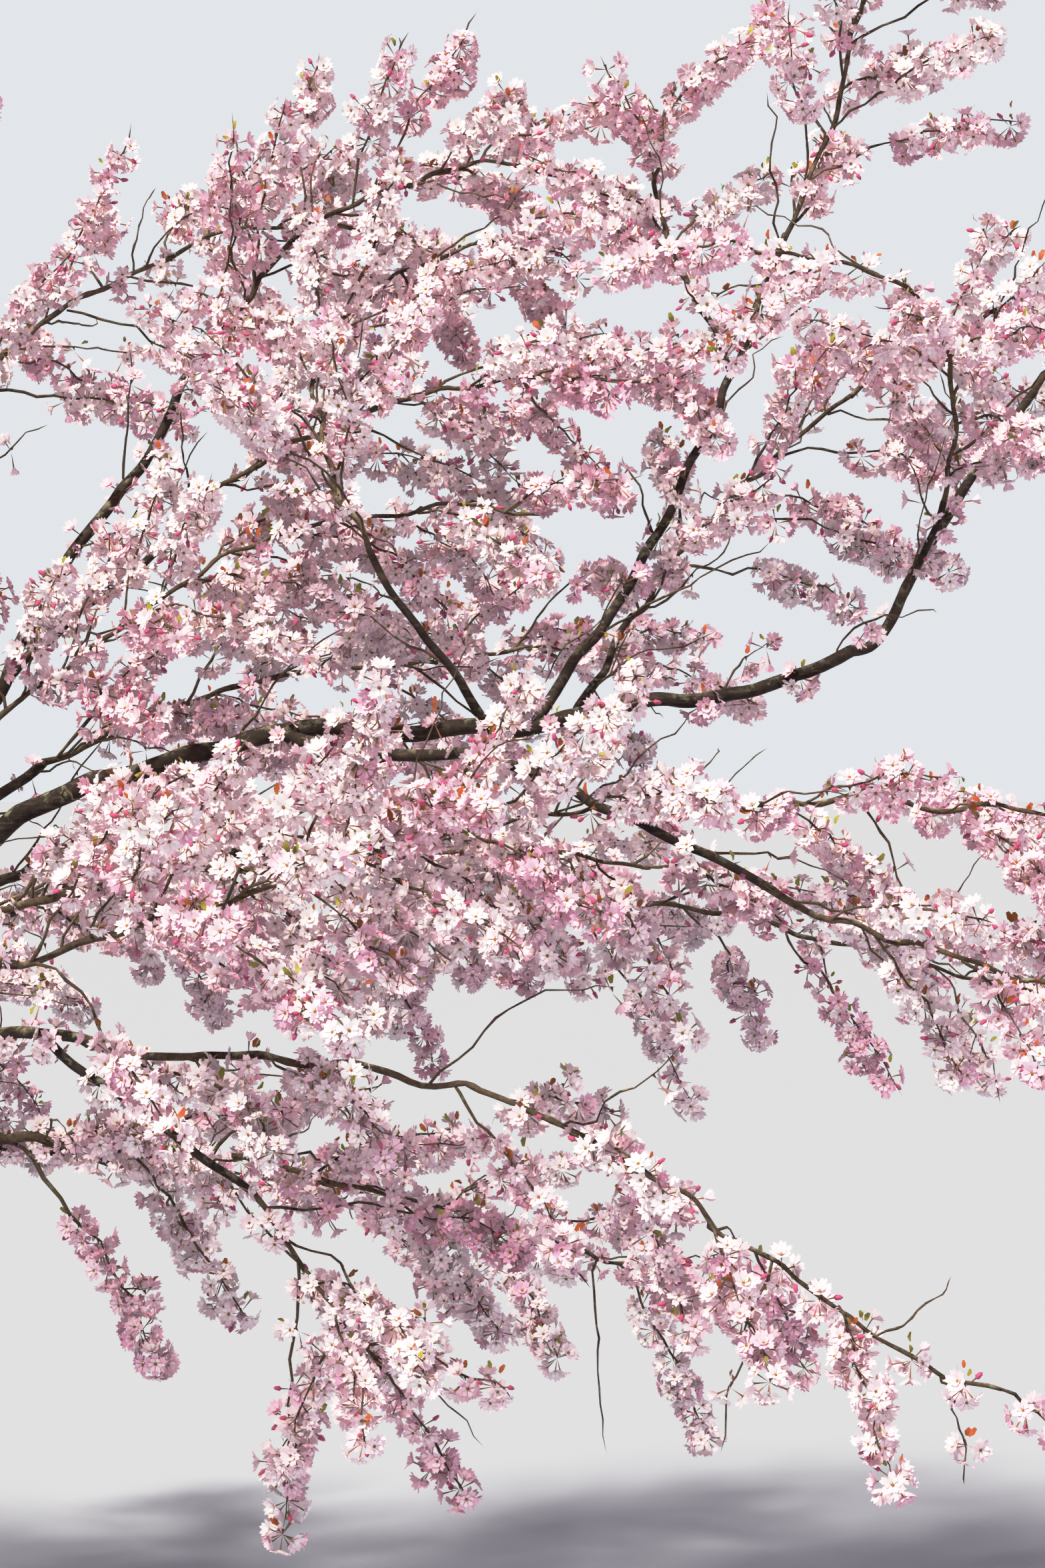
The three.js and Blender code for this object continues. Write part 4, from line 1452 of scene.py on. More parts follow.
    def lay_bare_shoot(self, point: np.ndarray, ahead: np.ndarray, rng: np.random.Generator) -> np.ndarray:
        """Lays a bare shoot that leaves a limb and bends up or down.

        Args:
            point: Point of the limb.
            ahead: The limb's direction there.
            rng: Draws.

        Returns:
            Its points.
        """
        wood, side = self.wood, side_of(ahead)
        roll, length = rng.uniform(0, 2 * math.pi), rng.uniform(*wood.bare_length)
        over = np.cross(ahead, side) * (wood.bare_flat * math.sin(roll))
        out = unit(side * math.cos(roll) + over + UP * wood.bare_rise)
        way = unit(ahead * wood.bare_ahead + out)
        bend = UP * rng.uniform(*wood.bare_bend) + side * rng.uniform(-wood.bare_stray, wood.bare_stray)
        third = point + way * length * BEND_ON + bend * length * BENT
        last = third + unit(way + bend * MORE_BENT) * length * LAST_STRETCH
        line, _ = smooth(np.array([point, point + way * length * BEND_AT, third, last]), wood.bare_step)
        path, _ = even_path(line, wood.bare_points)
        return warp(warp(path, *CROOKS), *FINE_CROOKS)

    def lay_twig(self, twig: Twig, rng: np.random.Generator) -> tuple[np.ndarray, float]:
        """Lays a twig from its stem through its spray, a little arched.

        Args:
            twig: The twig.
            rng: Draws.

        Returns:
            Its points, and the share of its length where the spray begins.
        """
        wood, way = self.wood, unit(twig.end - twig.root)
        neck = twig.centre - twig.axis * SPRAY_HALF + UP * SPRAY_HANG
        if (neck - twig.root) @ way < TWIG_NECK:
            neck = twig.root + way * TWIG_NECK
        bare = float(np.linalg.norm(neck - twig.root))
        bow = side_of(way) * rng.uniform(-wood.bow, wood.bow) * bare + UP * rng.uniform(0.0, wood.rise) * bare
        middle = (twig.root + neck) / 2 + bow
        sway = side_of(twig.axis) * rng.uniform(-wood.crest_sway, wood.crest_sway)
        crest = twig.centre + UP * (SPRAY_HANG * wood.crest) + sway
        tip = twig.centre + twig.axis * (SPRAY_HALF * wood.tip) + UP * rng.uniform(*wood.tip_rise)
        line, places = smooth(np.array([twig.root, middle, neck, crest, tip]), wood.twig_step)
        path, shares = even_path(line, wood.twig_points)
        path = warp(warp(path, *CROOKS), *FINE_CROOKS)
        return path, float(np.interp(NECK_CORNER, places, shares))

    def grow_side(
        self, path: np.ndarray, neck: float, tone: Tone, blossoming: Blossoming
    ) -> tuple[np.ndarray, np.ndarray]:
        """Grows a side shoot inside a spray, with a bunch on its end.

        Args:
            path: Points of the twig.
            neck: Share of its length where the spray begins.
            tone: Shade of the spray.
            blossoming: Takes the bunch.

        Returns:
            Its points and radii.
        """
        wood, rng = self.wood, blossoming.rng
        share = neck + (1 - neck) * rng.uniform(*wood.side_place)
        point, ahead = on_course(path, share)
        side = side_of(ahead)
        roll = rng.uniform(0, 2 * math.pi)
        out = side * math.cos(roll) + np.cross(ahead, side) * math.sin(roll) * wood.side_flat
        way = unit(ahead * wood.side_ahead + out)
        length = rng.uniform(*wood.side_length)
        line = np.array([point, point + way * length / 2 + UP * wood.side_arch, point + way * length])
        shoot, _ = even_path(smooth(line, wood.side_step)[0], wood.side_points)
        blossoming.set_bunch(shoot[-1], way, self.habit.side_bunch, tone, share)
        return shoot, np.linspace(*wood.side_thick, wood.side_points)

    def build_stalks(self, blossoming: Blossoming, finishes: "Finishes") -> list[bpy.types.Object]:
        """Builds flower stalks, spurs and young leaves.

        Args:
            blossoming: Where they stand.
            finishes: The materials.

        Returns:
            The pieces.
        """
        made = []
        for name, rows, thick, finish in (
            ("flower_stalks", blossoming.stalks, self.wood.stalk_thick, finishes.stalk),
            ("spurs", blossoming.spurs, self.wood.spur_thick, finishes.spur),
        ):
            ends, heap = np.array(rows).reshape(-1, 2, 3), Heap()
            heap.add(*tubes(ends, np.full((len(ends), 2), thick), self.wood.stalk_sides))
            made.append(heap.to_piece(name, [finish]))
        leaves, (vertices, faces) = np.array(blossoming.leaves), model_leaf()
        is_green = leaves[:, 7] < self.habit.green_leaves
        for name, rows, finish in (
            ("leaves_green", leaves[is_green], finishes.leaf_green),
            ("leaves_bronze", leaves[~is_green], finishes.leaf_bronze),
        ):
            frame, heap = bases(rows[:, 3:6], rows[:, 7] * LEAF_SPIN), Heap()
            turned = np.stack([frame[:, 2], frame[:, 0], frame[:, 1]], axis=1) * rows[:, 6, None, None]
            heap.add(np.einsum("vj,njk->nvk", vertices, turned) + rows[:, None, :3], faces)
            made.append(heap.to_piece(name, [finish]))
        return made

    def build_flowers(self, blossoming: Blossoming, finishes: "Finishes") -> list[bpy.types.Object]:
        """Copies the modelled flowers to their places, by shade, in pieces that stay light.

        Args:
            blossoming: Where the flowers stand.
            finishes: The materials.

        Returns:
            The pieces.
        """
        models, pieces = model_flowers(), []
        for tone in TONES:
            opened = (FlowerForm.WIDE, FlowerForm.CUPPED, FlowerForm.HALF)
            batches = [(models[form], np.array(blossoming.flowers.get((form, tone), []))) for form in opened]
            for heap in self.fill_heaps(batches):
                name = f"blossom_{tone.name.lower()}_{len(pieces)}"
                pieces.append(heap.to_piece(name, finishes.flower(tone)))
        buds = np.array([row for tone in TONES for row in blossoming.flowers.get((FlowerForm.BUD, tone), [])])
        heap = Heap()
        self.copy_rows(models[FlowerForm.BUD], buds, heap)
        pieces.append(heap.to_piece("blossom_buds", [finishes.bud]))
        return pieces

    def fill_heaps(self, batches: Iterable[tuple[Flower, np.ndarray]]) -> Iterator[Heap]:
        """Copies flowers into one heap after another, each as large as a piece may be.

        Args:
            batches: Flowers of one form, with the places, ways, spins and sizes of their copies.

        Yields:
            The heaps.
        """
        heap = Heap()
        for model, rows in batches:
            while len(rows):
                room = (PIECE_TRIANGLES - heap.triangles()) // len(model.faces)
                if room < 1:
                    yield heap
                    heap = Heap()
                    continue
                self.copy_rows(model, rows[:room], heap)
                rows = rows[room:]
        yield heap

    def copy_rows(self, model: Flower, rows: np.ndarray, heap: Heap) -> None:
        """Copies a flower to each of many places.

        Args:
            model: The flower.
            rows: Places, ways, spins and sizes.
            heap: Takes the copies.
        """
        frame = bases(rows[:, 3:6], rows[:, 6]) * rows[:, 7, None, None]
        copies = np.einsum("vj,njk->nvk", model.vertices, frame) + rows[:, None, :3]
        heap.add(copies, model.faces, model.parts)


@dataclass(frozen=True)
class BarkSizes:
    """How bark is modelled: corners, spacing and relief in millimetres.

    The swellings, the knots, the collar and the most that the grain may take are shares of the limb's radius.
    A stretch below one draws a pattern out along the limb.
    """

    trunk_sides: int = 20
    bough_sides: int = 6
    thin_sides: int = 5
    thin_below: float = 20.0
    ring_gap: float = 30.0
    rounding: int = 2
    overrun: float = 9.0
    collar: float = 0.35
    collar_reach: float = 0.9
    collar_least: float = 1.0
    swell: float = 0.09
    swell_size: float = 46.0
    swell_stretch: float = 0.7
    grain: float = 1.1
    grain_share: float = 0.08
    grain_size: float = 9.0
    grain_stretch: float = 0.55
    knot: float = 0.16
    knot_gap: float = 72.0
    knot_shift: float = 9.0
    knot_count: float = 1.7
    knot_low: float = 0.25
    bands: float = 1.6
    band_size: tuple[float, float] = (34.0, 5.5)
    band_low: float = 0.12
    band_edge: float = 4.0
    foot_clear: float = 25.0


def lay_frames(points: np.ndarray, is_foot: bool) -> np.ndarray:
    """Carries a frame along a line without twisting it.

    Args:
        points: The line.
        is_foot: Whether the first frame lies level on the ground.

    Returns:
        One matrix a point, whose rows are side, across and ahead.
    """
    ahead = mitres(points)
    if is_foot:
        ahead[0] = UP
    side, made = side_of(ahead[0]), []
    for way in ahead:
        side = unit(side - way * (side @ way))
        made.append((side, np.cross(way, side), way))
    return np.array(made)


@dataclass
class BarkLimb:
    """One limb of bark: a ring extruded along the limb's line, rounded off and given its relief."""

    name: str
    points: np.ndarray
    radii: np.ndarray
    corners: int
    sizes: BarkSizes

    def model(self, is_foot: bool) -> bpy.types.Object:
        """Models the limb.

        Args:
            is_foot: Whether it stands on the ground with a flat cut.

        Returns:
            The object, in millimetres.
        """
        frames = lay_frames(self.points, is_foot)
        # Rounding off pulls every ring in by this share, so the rings are made larger first.
        shrink = (2 + math.cos(2 * math.pi / self.corners)) / 3
        radii = self.radii / shrink
        sizes = {"vertices": self.corners, "radius": float(radii[0]), "fill_type": "NGON"}
        limb = start_shape(bpy.ops.mesh.primitive_circle_add, **sizes)
        limb.name = self.name
        bpy.ops.mesh.select_all(action="SELECT")
        if is_foot:
            bpy.ops.transform.edge_crease(value=1)
        self.turn_ring(limb, np.eye(3), frames[0], np.zeros(3), self.points[0], 1.0)
        for k in range(1, len(self.points)):
            step = self.points[k] - self.points[k - 1]
            bpy.ops.mesh.extrude_region_move(TRANSFORM_OT_translate={"value": tuple(step)})
            here = self.points[k]
            self.turn_ring(limb, frames[k - 1], frames[k], here, here, float(radii[k] / radii[k - 1]))
        bpy.ops.mesh.select_all(action="SELECT")
        bpy.ops.mesh.normals_make_consistent(inside=False)
        bpy.ops.object.mode_set(mode="OBJECT")
        round_off = limb.modifiers.new("Rounding", "SUBSURF")
        round_off.levels = round_off.render_levels = self.sizes.rounding
        bpy.ops.object.modifier_apply(modifier=round_off.name)
        self.raise_relief(limb, frames, is_foot)
        return limb

    def turn_ring(
        self,
        limb: bpy.types.Object,
        old: np.ndarray,
        new: np.ndarray,
        centre: np.ndarray,
        place: np.ndarray,
        size: float,
    ) -> None:
        """Turns, sizes and moves the selected ring.

        Args:
            limb: The object, in edit mode.
            old: Frame that the ring stands in.
            new: Frame that it is turned to.
            centre: Its centre now.
            place: Its centre afterwards.
            size: Its new size over the old.
        """
        turn = Matrix(new.T.tolist()) @ Matrix(old.tolist()) * size
        shape = bmesh.from_edit_mesh(limb.data)
        for corner in shape.verts:
            if corner.select:
                corner.co = turn @ (corner.co - Vector(centre)) + Vector(place)
        bmesh.update_edit_mesh(limb.data)

    def raise_relief(self, limb: bpy.types.Object, frames: np.ndarray, is_foot: bool) -> None:
        """Moves the surface in and out for swellings, knots, grain and, on the trunk, raised bands.

        Args:
            limb: The object.
            frames: Frames along its line.
            is_foot: Whether it is the trunk.
        """
        sizes, mesh = self.sizes, limb.data
        spots, normals = np.empty(len(mesh.vertices) * 3), np.empty(len(mesh.vertices) * 3)
        mesh.vertices.foreach_get("co", spots)
        mesh.vertices.foreach_get("normal", normals)
        spots, normals = spots.reshape(-1, 3), normals.reshape(-1, 3)
        start, step = self.points[:-1], np.diff(self.points, axis=0)
        lengths = np.linalg.norm(step, axis=1)
        reach = np.concatenate([[0.0], np.cumsum(lengths)])
        share = np.clip(((spots[:, None] - start) * step).sum(2) / lengths**2, 0, 1)
        off = spots[:, None] - start - step * share[..., None]
        nearest = np.linalg.norm(off, axis=2).argmin(1)
        rows = np.arange(len(spots))
        share, off = share[rows, nearest], off[rows, nearest]
        along_limb = reach[nearest] + lengths[nearest] * share
        radius = np.interp(along_limb, reach, self.radii)
        u, v = (off * frames[nearest, 0]).sum(1), (off * frames[nearest, 1]).sum(1)
        moved = np.empty(len(spots))
        for i, (x, y, s, r) in enumerate(zip(u, v, along_limb, radius)):
            broad = noise.noise(Vector((x, y, s * sizes.swell_stretch)) / sizes.swell_size)
            fine = noise.noise(Vector((x, y, s * sizes.grain_stretch)) / sizes.grain_size)
            spot = Vector((x / r, y / r, s / sizes.knot_gap + sizes.knot_shift)) * sizes.knot_count
            knot = max(0.0, noise.noise(spot) - sizes.knot_low)
            grain = min(sizes.grain, sizes.grain_share * r)
            moved[i] = broad * sizes.swell * r + fine * grain + knot * sizes.knot * r
            if is_foot:
                wide, deep = sizes.band_size
                band = noise.noise(Vector((x / wide, y / wide, s / deep)))
                moved[i] += sizes.bands * min(max((band - sizes.band_low) * sizes.band_edge, 0.0), 1.0)
        if is_foot:
            fade = np.exp(-spots[:, 2] / FLARE_REACH)
            turn = np.arctan2(v, u)
            spots[:, :2] *= (1 + FLARE_DEPTH * fade * np.cos(FLARE_LOBES * turn))[:, None]
            moved *= np.clip(spots[:, 2] / sizes.foot_clear, 0, 1)
        mesh.vertices.foreach_set("co", ((spots + normals * moved[:, None]) * MM).ravel())
        mesh.update()


@dataclass
class Bark:
    """The bark of the trunk and the boughs, which takes the place of their solids."""

    growth: Growth
    sizes: BarkSizes = field(default_factory=BarkSizes)

    def build(self, finishes: "Finishes") -> list[bpy.types.Object]:
        """Models and dresses the trunk and the boughs.

        Args:
            finishes: The materials.

        Returns:
            The pieces.
        """
        trunk = self.lay_limb(self.growth.limbs["trunk"], self.sizes.trunk_sides).model(True)
        dress(trunk, "bark_trunk", finishes.bark_trunk, ["trunk"])
        pieces, group, names, count = [trunk], [], [], 0
        for bough in BOUGHS:
            limb = self.growth.limbs[bough.name]
            is_thin = limb.radii[0] < self.sizes.thin_below
            corners = self.sizes.thin_sides if is_thin else self.sizes.bough_sides
            made = self.lay_limb(limb, corners).model(False)
            size = 2 * len(made.data.polygons)
            if count + size > PIECE_TRIANGLES:
                pieces.append(self.join(group, names, len(pieces), finishes))
                group, names, count = [], [], 0
            group.append(made)
            names.append(f"bough_{bough.name}")
            count += size
        pieces.append(self.join(group, names, len(pieces), finishes))
        return pieces

    def lay_limb(self, limb: Limb, corners: int) -> BarkLimb:
        """Lays a limb's smooth line and its radii, with a collar where it leaves its parent.

        Args:
            limb: The limb.
            corners: Corners around.

        Returns:
            The limb of bark.
        """
        sizes = self.sizes
        points, _, radii = limb.trace(sizes.ring_gap)
        if limb.name != "trunk":
            points = warp(points, *CROOKS)
        reach = np.concatenate([[0.0], np.cumsum(np.linalg.norm(np.diff(points, axis=0), axis=1))])
        if limb.name == "trunk":
            radii = radii + FLARE_RISE * np.exp(-points[:, 2] / FLARE_REACH)
        elif limb.parent_radius > limb.radii[0] + sizes.collar_least:
            thicker = sizes.collar * np.minimum(limb.parent_radius - radii, radii)
            clear = np.maximum(reach - limb.parent_radius, 0)
            radii = radii + thicker * np.exp(-clear / (sizes.collar_reach * limb.parent_radius))
        else:
            points = np.vstack([points[0] - unit(points[1] - points[0]) * sizes.overrun, points])
            radii = np.concatenate([radii[:1], radii])
        points = np.vstack([points, points[-1] + unit(points[-1] - points[-2]) * sizes.overrun])
        radii = np.concatenate([radii, radii[-1:]])
        return BarkLimb(f"bark_{limb.name}", points, radii, corners, sizes)

    def join(
        self, group: list[bpy.types.Object], names: list[str], number: int, finishes: "Finishes"
    ) -> bpy.types.Object:
        """Joins boughs into one piece.

        Args:
            group: The boughs.
            names: Names of the solids that they take the place of.
            number: Number of the piece.
            finishes: The materials.

        Returns:
            The piece.
        """
        bpy.ops.object.select_all(action="DESELECT")
        for limb in group:
            limb.select_set(True)
        bpy.context.view_layer.objects.active = group[0]
        bpy.ops.object.join()
        dress(group[0], f"bark_boughs_{number}", finishes.bark_bough, names)
        return group[0]


def dress(piece: bpy.types.Object, name: str, finish: bpy.types.Material, nodes: list[str]) -> None:
    """Names and finishes a piece of bark and sets it in the place of its solids.

    Args:
        piece: The piece.
        name: Its name.
        finish: Its material.
        nodes: Names of the solids.
    """
    piece.name = piece.data.name = name
    piece.data.materials.clear()
    piece.data.materials.append(finish)
    piece.data.shade_smooth()
    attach(piece, "root")
    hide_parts(*nodes)


def colour(code: str) -> tuple[float, float, float, float]:
    """Returns the linear colour of a hex code."""
    values = [int(code[i : i + 2], 16) / 255 for i in (1, 3, 5)]
    return (*(v / 12.92 if v <= 0.04045 else ((v + 0.055) / 1.055) ** 2.4 for v in values), 1.0)


class Group:
    """A node group with named sockets, built node by node."""

    def __init__(self, name: str, inputs: dict[str, object], outputs: dict[str, str]) -> None:
        """Starts the group.

        Args:
            name: Its name.
            inputs: Default by input name: a number or a colour.
            outputs: Socket type by output name.
        """
        self.tree = bpy.data.node_groups.new(name, "ShaderNodeTree")
        for label, value in inputs.items():
            kind = "NodeSocketFloat" if isinstance(value, float) else "NodeSocketColor"
            self.tree.interface.new_socket(label, in_out="INPUT", socket_type=kind).default_value = value
        for label, kind in outputs.items():
            self.tree.interface.new_socket(label, in_out="OUTPUT", socket_type=kind)
        self.inputs = self.tree.nodes.new("NodeGroupInput").outputs
        self.outputs = self.tree.nodes.new("NodeGroupOutput").inputs

    def node(self, kind: str, links: dict[object, object], **values: object) -> bpy.types.Node:
        """Adds a node.

        Args:
            kind: Its type.
            links: Value or socket by input name or number.
            values: Properties of the node.

        Returns:
            The node.
        """
        return add_node(self.tree, kind, links, **values)

    def link(self, source: bpy.types.NodeSocket, label: str) -> None:
        """Links a socket to an output of the group.

        Args:
            source: The socket.
            label: Name of the output.
        """
        self.tree.links.new(source, self.outputs[label])

    def spots(
        self, place: bpy.types.NodeSocket, scale: object, detail: float, roughness: float
    ) -> bpy.types.NodeSocket:
        """Adds noise.

        Args:
            place: Where it is taken.
            scale: How fine it is, or the socket that tells.
            detail: How many finer layers it has.
            roughness: How much they show.

        Returns:
            Its value.
        """
        links = {"Vector": place, "Scale": scale, "Detail": detail, "Roughness": roughness}
        return self.node("ShaderNodeTexNoise", links).outputs[0]

    def stretch(
        self, value: bpy.types.NodeSocket, old: tuple[float, float], new: tuple[float, float] = (0.0, 1.0)
    ) -> bpy.types.NodeSocket:
        """Stretches a value from between two bounds to between two others, and holds it there.

        Args:
            value: The value.
            old: Bounds that it is taken from.
            new: Bounds that they become.

        Returns:
            The stretched value.
        """
        return self.node("ShaderNodeMapRange", dict(enumerate((value, *old, *new)))).outputs[0]

    def sum_up(self, operation: str, *values: bpy.types.NodeSocket | float) -> bpy.types.NodeSocket:
        """Does a sum with values.

        Args:
            operation: What is done.
            values: The values in their order.

        Returns:
            The result.
        """
        return self.node("ShaderNodeMath", dict(enumerate(values)), operation=operation).outputs[0]

    def mix(self, share: bpy.types.NodeSocket, first: object, second: object) -> bpy.types.NodeSocket:
        """Mixes two colours.

        Args:
            share: Share of the second.
            first: The one colour, or the socket that gives it.
            second: The other.

        Returns:
            The mixed colour.
        """
        return self.node("ShaderNodeMix", {0: share, 6: first, 7: second}, data_type="RGBA").outputs[2]


def add_node(
    tree: bpy.types.NodeTree, kind: str, links: dict[object, object], **values: object
) -> bpy.types.Node:
    """Adds a node to a tree.

    Args:
        tree: The tree.
        kind: The node's type.
        links: Value or socket by input name or number.
        values: Properties of the node.

    Returns:
        The node.
    """
    node = tree.nodes.new(kind)
    for name, value in values.items():
        setattr(node, name, value)
    for key, value in links.items():
        if isinstance(value, bpy.types.NodeSocket):
            tree.links.new(value, node.inputs[key])
        else:
            node.inputs[key].default_value = value
    return node


@dataclass(frozen=True)
class BarkPattern:
    """What every bark shares.

    A noise is given by its scale, detail and roughness, of which the grain's scale is each bark's own. An
    edge is the two values between which a pattern turns from none to full.
    """

    patches: tuple[float, float, float] = (14.0, 4.0, 0.6)
    grain: tuple[float, float] = (6.0, 0.7)
    wood_edge: tuple[float, float] = (0.78, 1.22)
    lichen: tuple[float, float, float] = (34.0, 5.0, 0.75)
    # Weight of an upward face in the lichen mask, which paints sunlit tops.
    sunlit_top_share: float = 0.1
    lichen_and_sunlit_edge: tuple[float, float] = (0.94, 1.06)
    streaks: tuple[float, float, float] = (24.0, 3.0, 0.55)
    streak_squash: float = 7.0
    streak_edge: tuple[float, float] = (0.56, 0.66)
    streak_code: str = "#8d7766"
    grain_edge: tuple[float, float] = (0.3, 0.7)
    roughness: tuple[float, float] = (0.62, 0.92)


def bark_group(pattern: BarkPattern) -> bpy.types.NodeTree:
    """Builds the group for bark: weathered patches, pale level streaks, and lichen patches that spread
    further on upward faces as painted sunlit tops.

    Args:
        pattern: What every bark shares.

    Returns:
        The group.
    """
    group = Group(
        "Cherry bark",
        {
            "Dark": (0, 0, 0, 1), "Light": (1, 1, 1, 1), "Lichen": (1, 1, 1, 1),
            "Lichen share": 0.4, "Grain": 60.0, "Lenticels": 0.0,
        },
        {"Color": "NodeSocketColor", "Roughness": "NodeSocketFloat", "Height": "NodeSocketFloat"},
    )
    place = group.node("ShaderNodeTexCoord", {}).outputs["Object"]

    broad = group.spots(place, *pattern.patches)
    grain = group.spots(place, group.inputs["Grain"], *pattern.grain)
    mixed = group.stretch(group.sum_up("ADD", broad, grain), pattern.wood_edge)
    wood = group.mix(mixed, group.inputs["Dark"], group.inputs["Light"])
    spots = group.spots(place, *pattern.lichen)
    # The lichen colour spreads further on faces that look up: painted sunlit tops over real lichen patches.
    upward = group.node("ShaderNodeSeparateXYZ", {0: group.node("ShaderNodeTexCoord", {}).outputs["Normal"]})
    lichen_and_sunlit_mask = group.sum_up("MULTIPLY_ADD", upward.outputs[2], pattern.sunlit_top_share, spots)
    spread = group.stretch(group.sum_up("ADD", lichen_and_sunlit_mask, group.inputs["Lichen share"]), pattern.lichen_and_sunlit_edge)
    squash = (1.0, 1.0, pattern.streak_squash)
    flat = group.node("ShaderNodeMapping", {"Vector": place, "Scale": squash}).outputs[0]
    narrow = group.stretch(group.spots(flat, *pattern.streaks), pattern.streak_edge)
    share = group.sum_up("MULTIPLY", narrow, group.inputs["Lenticels"])
    banded = group.mix(share, wood, colour(pattern.streak_code))
    # Lichen with painted sunlit tops laid over the bark.
    group.link(group.mix(spread, banded, group.inputs["Lichen"]), "Color")
    group.link(group.stretch(grain, pattern.grain_edge, pattern.roughness), "Roughness")
    group.link(grain, "Height")
    return group.tree


def crinkle_group() -> bpy.types.NodeTree:
    """Builds the group for the fine crinkle of petals and leaves.

    Returns:
        The group.
    """
    group = Group("Crinkle", {"Size": 380.0}, {"Height": "NodeSocketFloat"})
    place = group.node("ShaderNodeTexCoord", {}).outputs["Object"]
    veins = group.node("ShaderNodeTexNoise", {"Vector": place, "Scale": group.inputs["Size"], "Detail": 2.0})
    group.link(veins.outputs[0], "Height")
    return group.tree


@dataclass(frozen=True)
class BarkLook:
    """Hex codes of a bark's hollows, ridges and lichen, where the lichen colour also stands on upward faces
    as painted sunlit tops, how far that lichen and painted light spread, how fine the grain is, and how far
    level pale streaks show.
    """

    dark: str
    light: str
    lichen: str
    lichen_and_sunlit_share: float
    grain: float
    lenticels: float


# How much petals and leaves reflect, their sheen and how rough it is, and the depth of their crinkle in
# metres.
SOFT_GLOSS, SOFT_SHEEN, SHEEN_ROUGHNESS, CRINKLE_DEPTH = 0.3, 0.25, 0.5, 0.001
PETAL_ROUGHNESS, PETAL_CRINKLE = 0.5, 0.12
# How much bark reflects, how far its grain shows as bumps, and their depth in metres.
BARK_GLOSS, BARK_BUMP, BARK_DEPTH = 0.25, 0.5, 0.002
BARK_ROUGHNESS, FLOOR_ROUGHNESS = 0.85, 0.9

# The lichen colours also stand on upward faces as painted sunlit tops.
BARK_TRUNK = BarkLook("#2a1f1b", "#5d4a3f", "#83866e", 0.36, 70.0, 0.75)
BARK_BOUGH = BarkLook("#1b1614", "#473c35", "#84866d", 0.37, 90.0, 0.2)
BARK_TWIG = BarkLook("#2b221d", "#75634f", "#8f9077", 0.36, 160.0, 0.0)


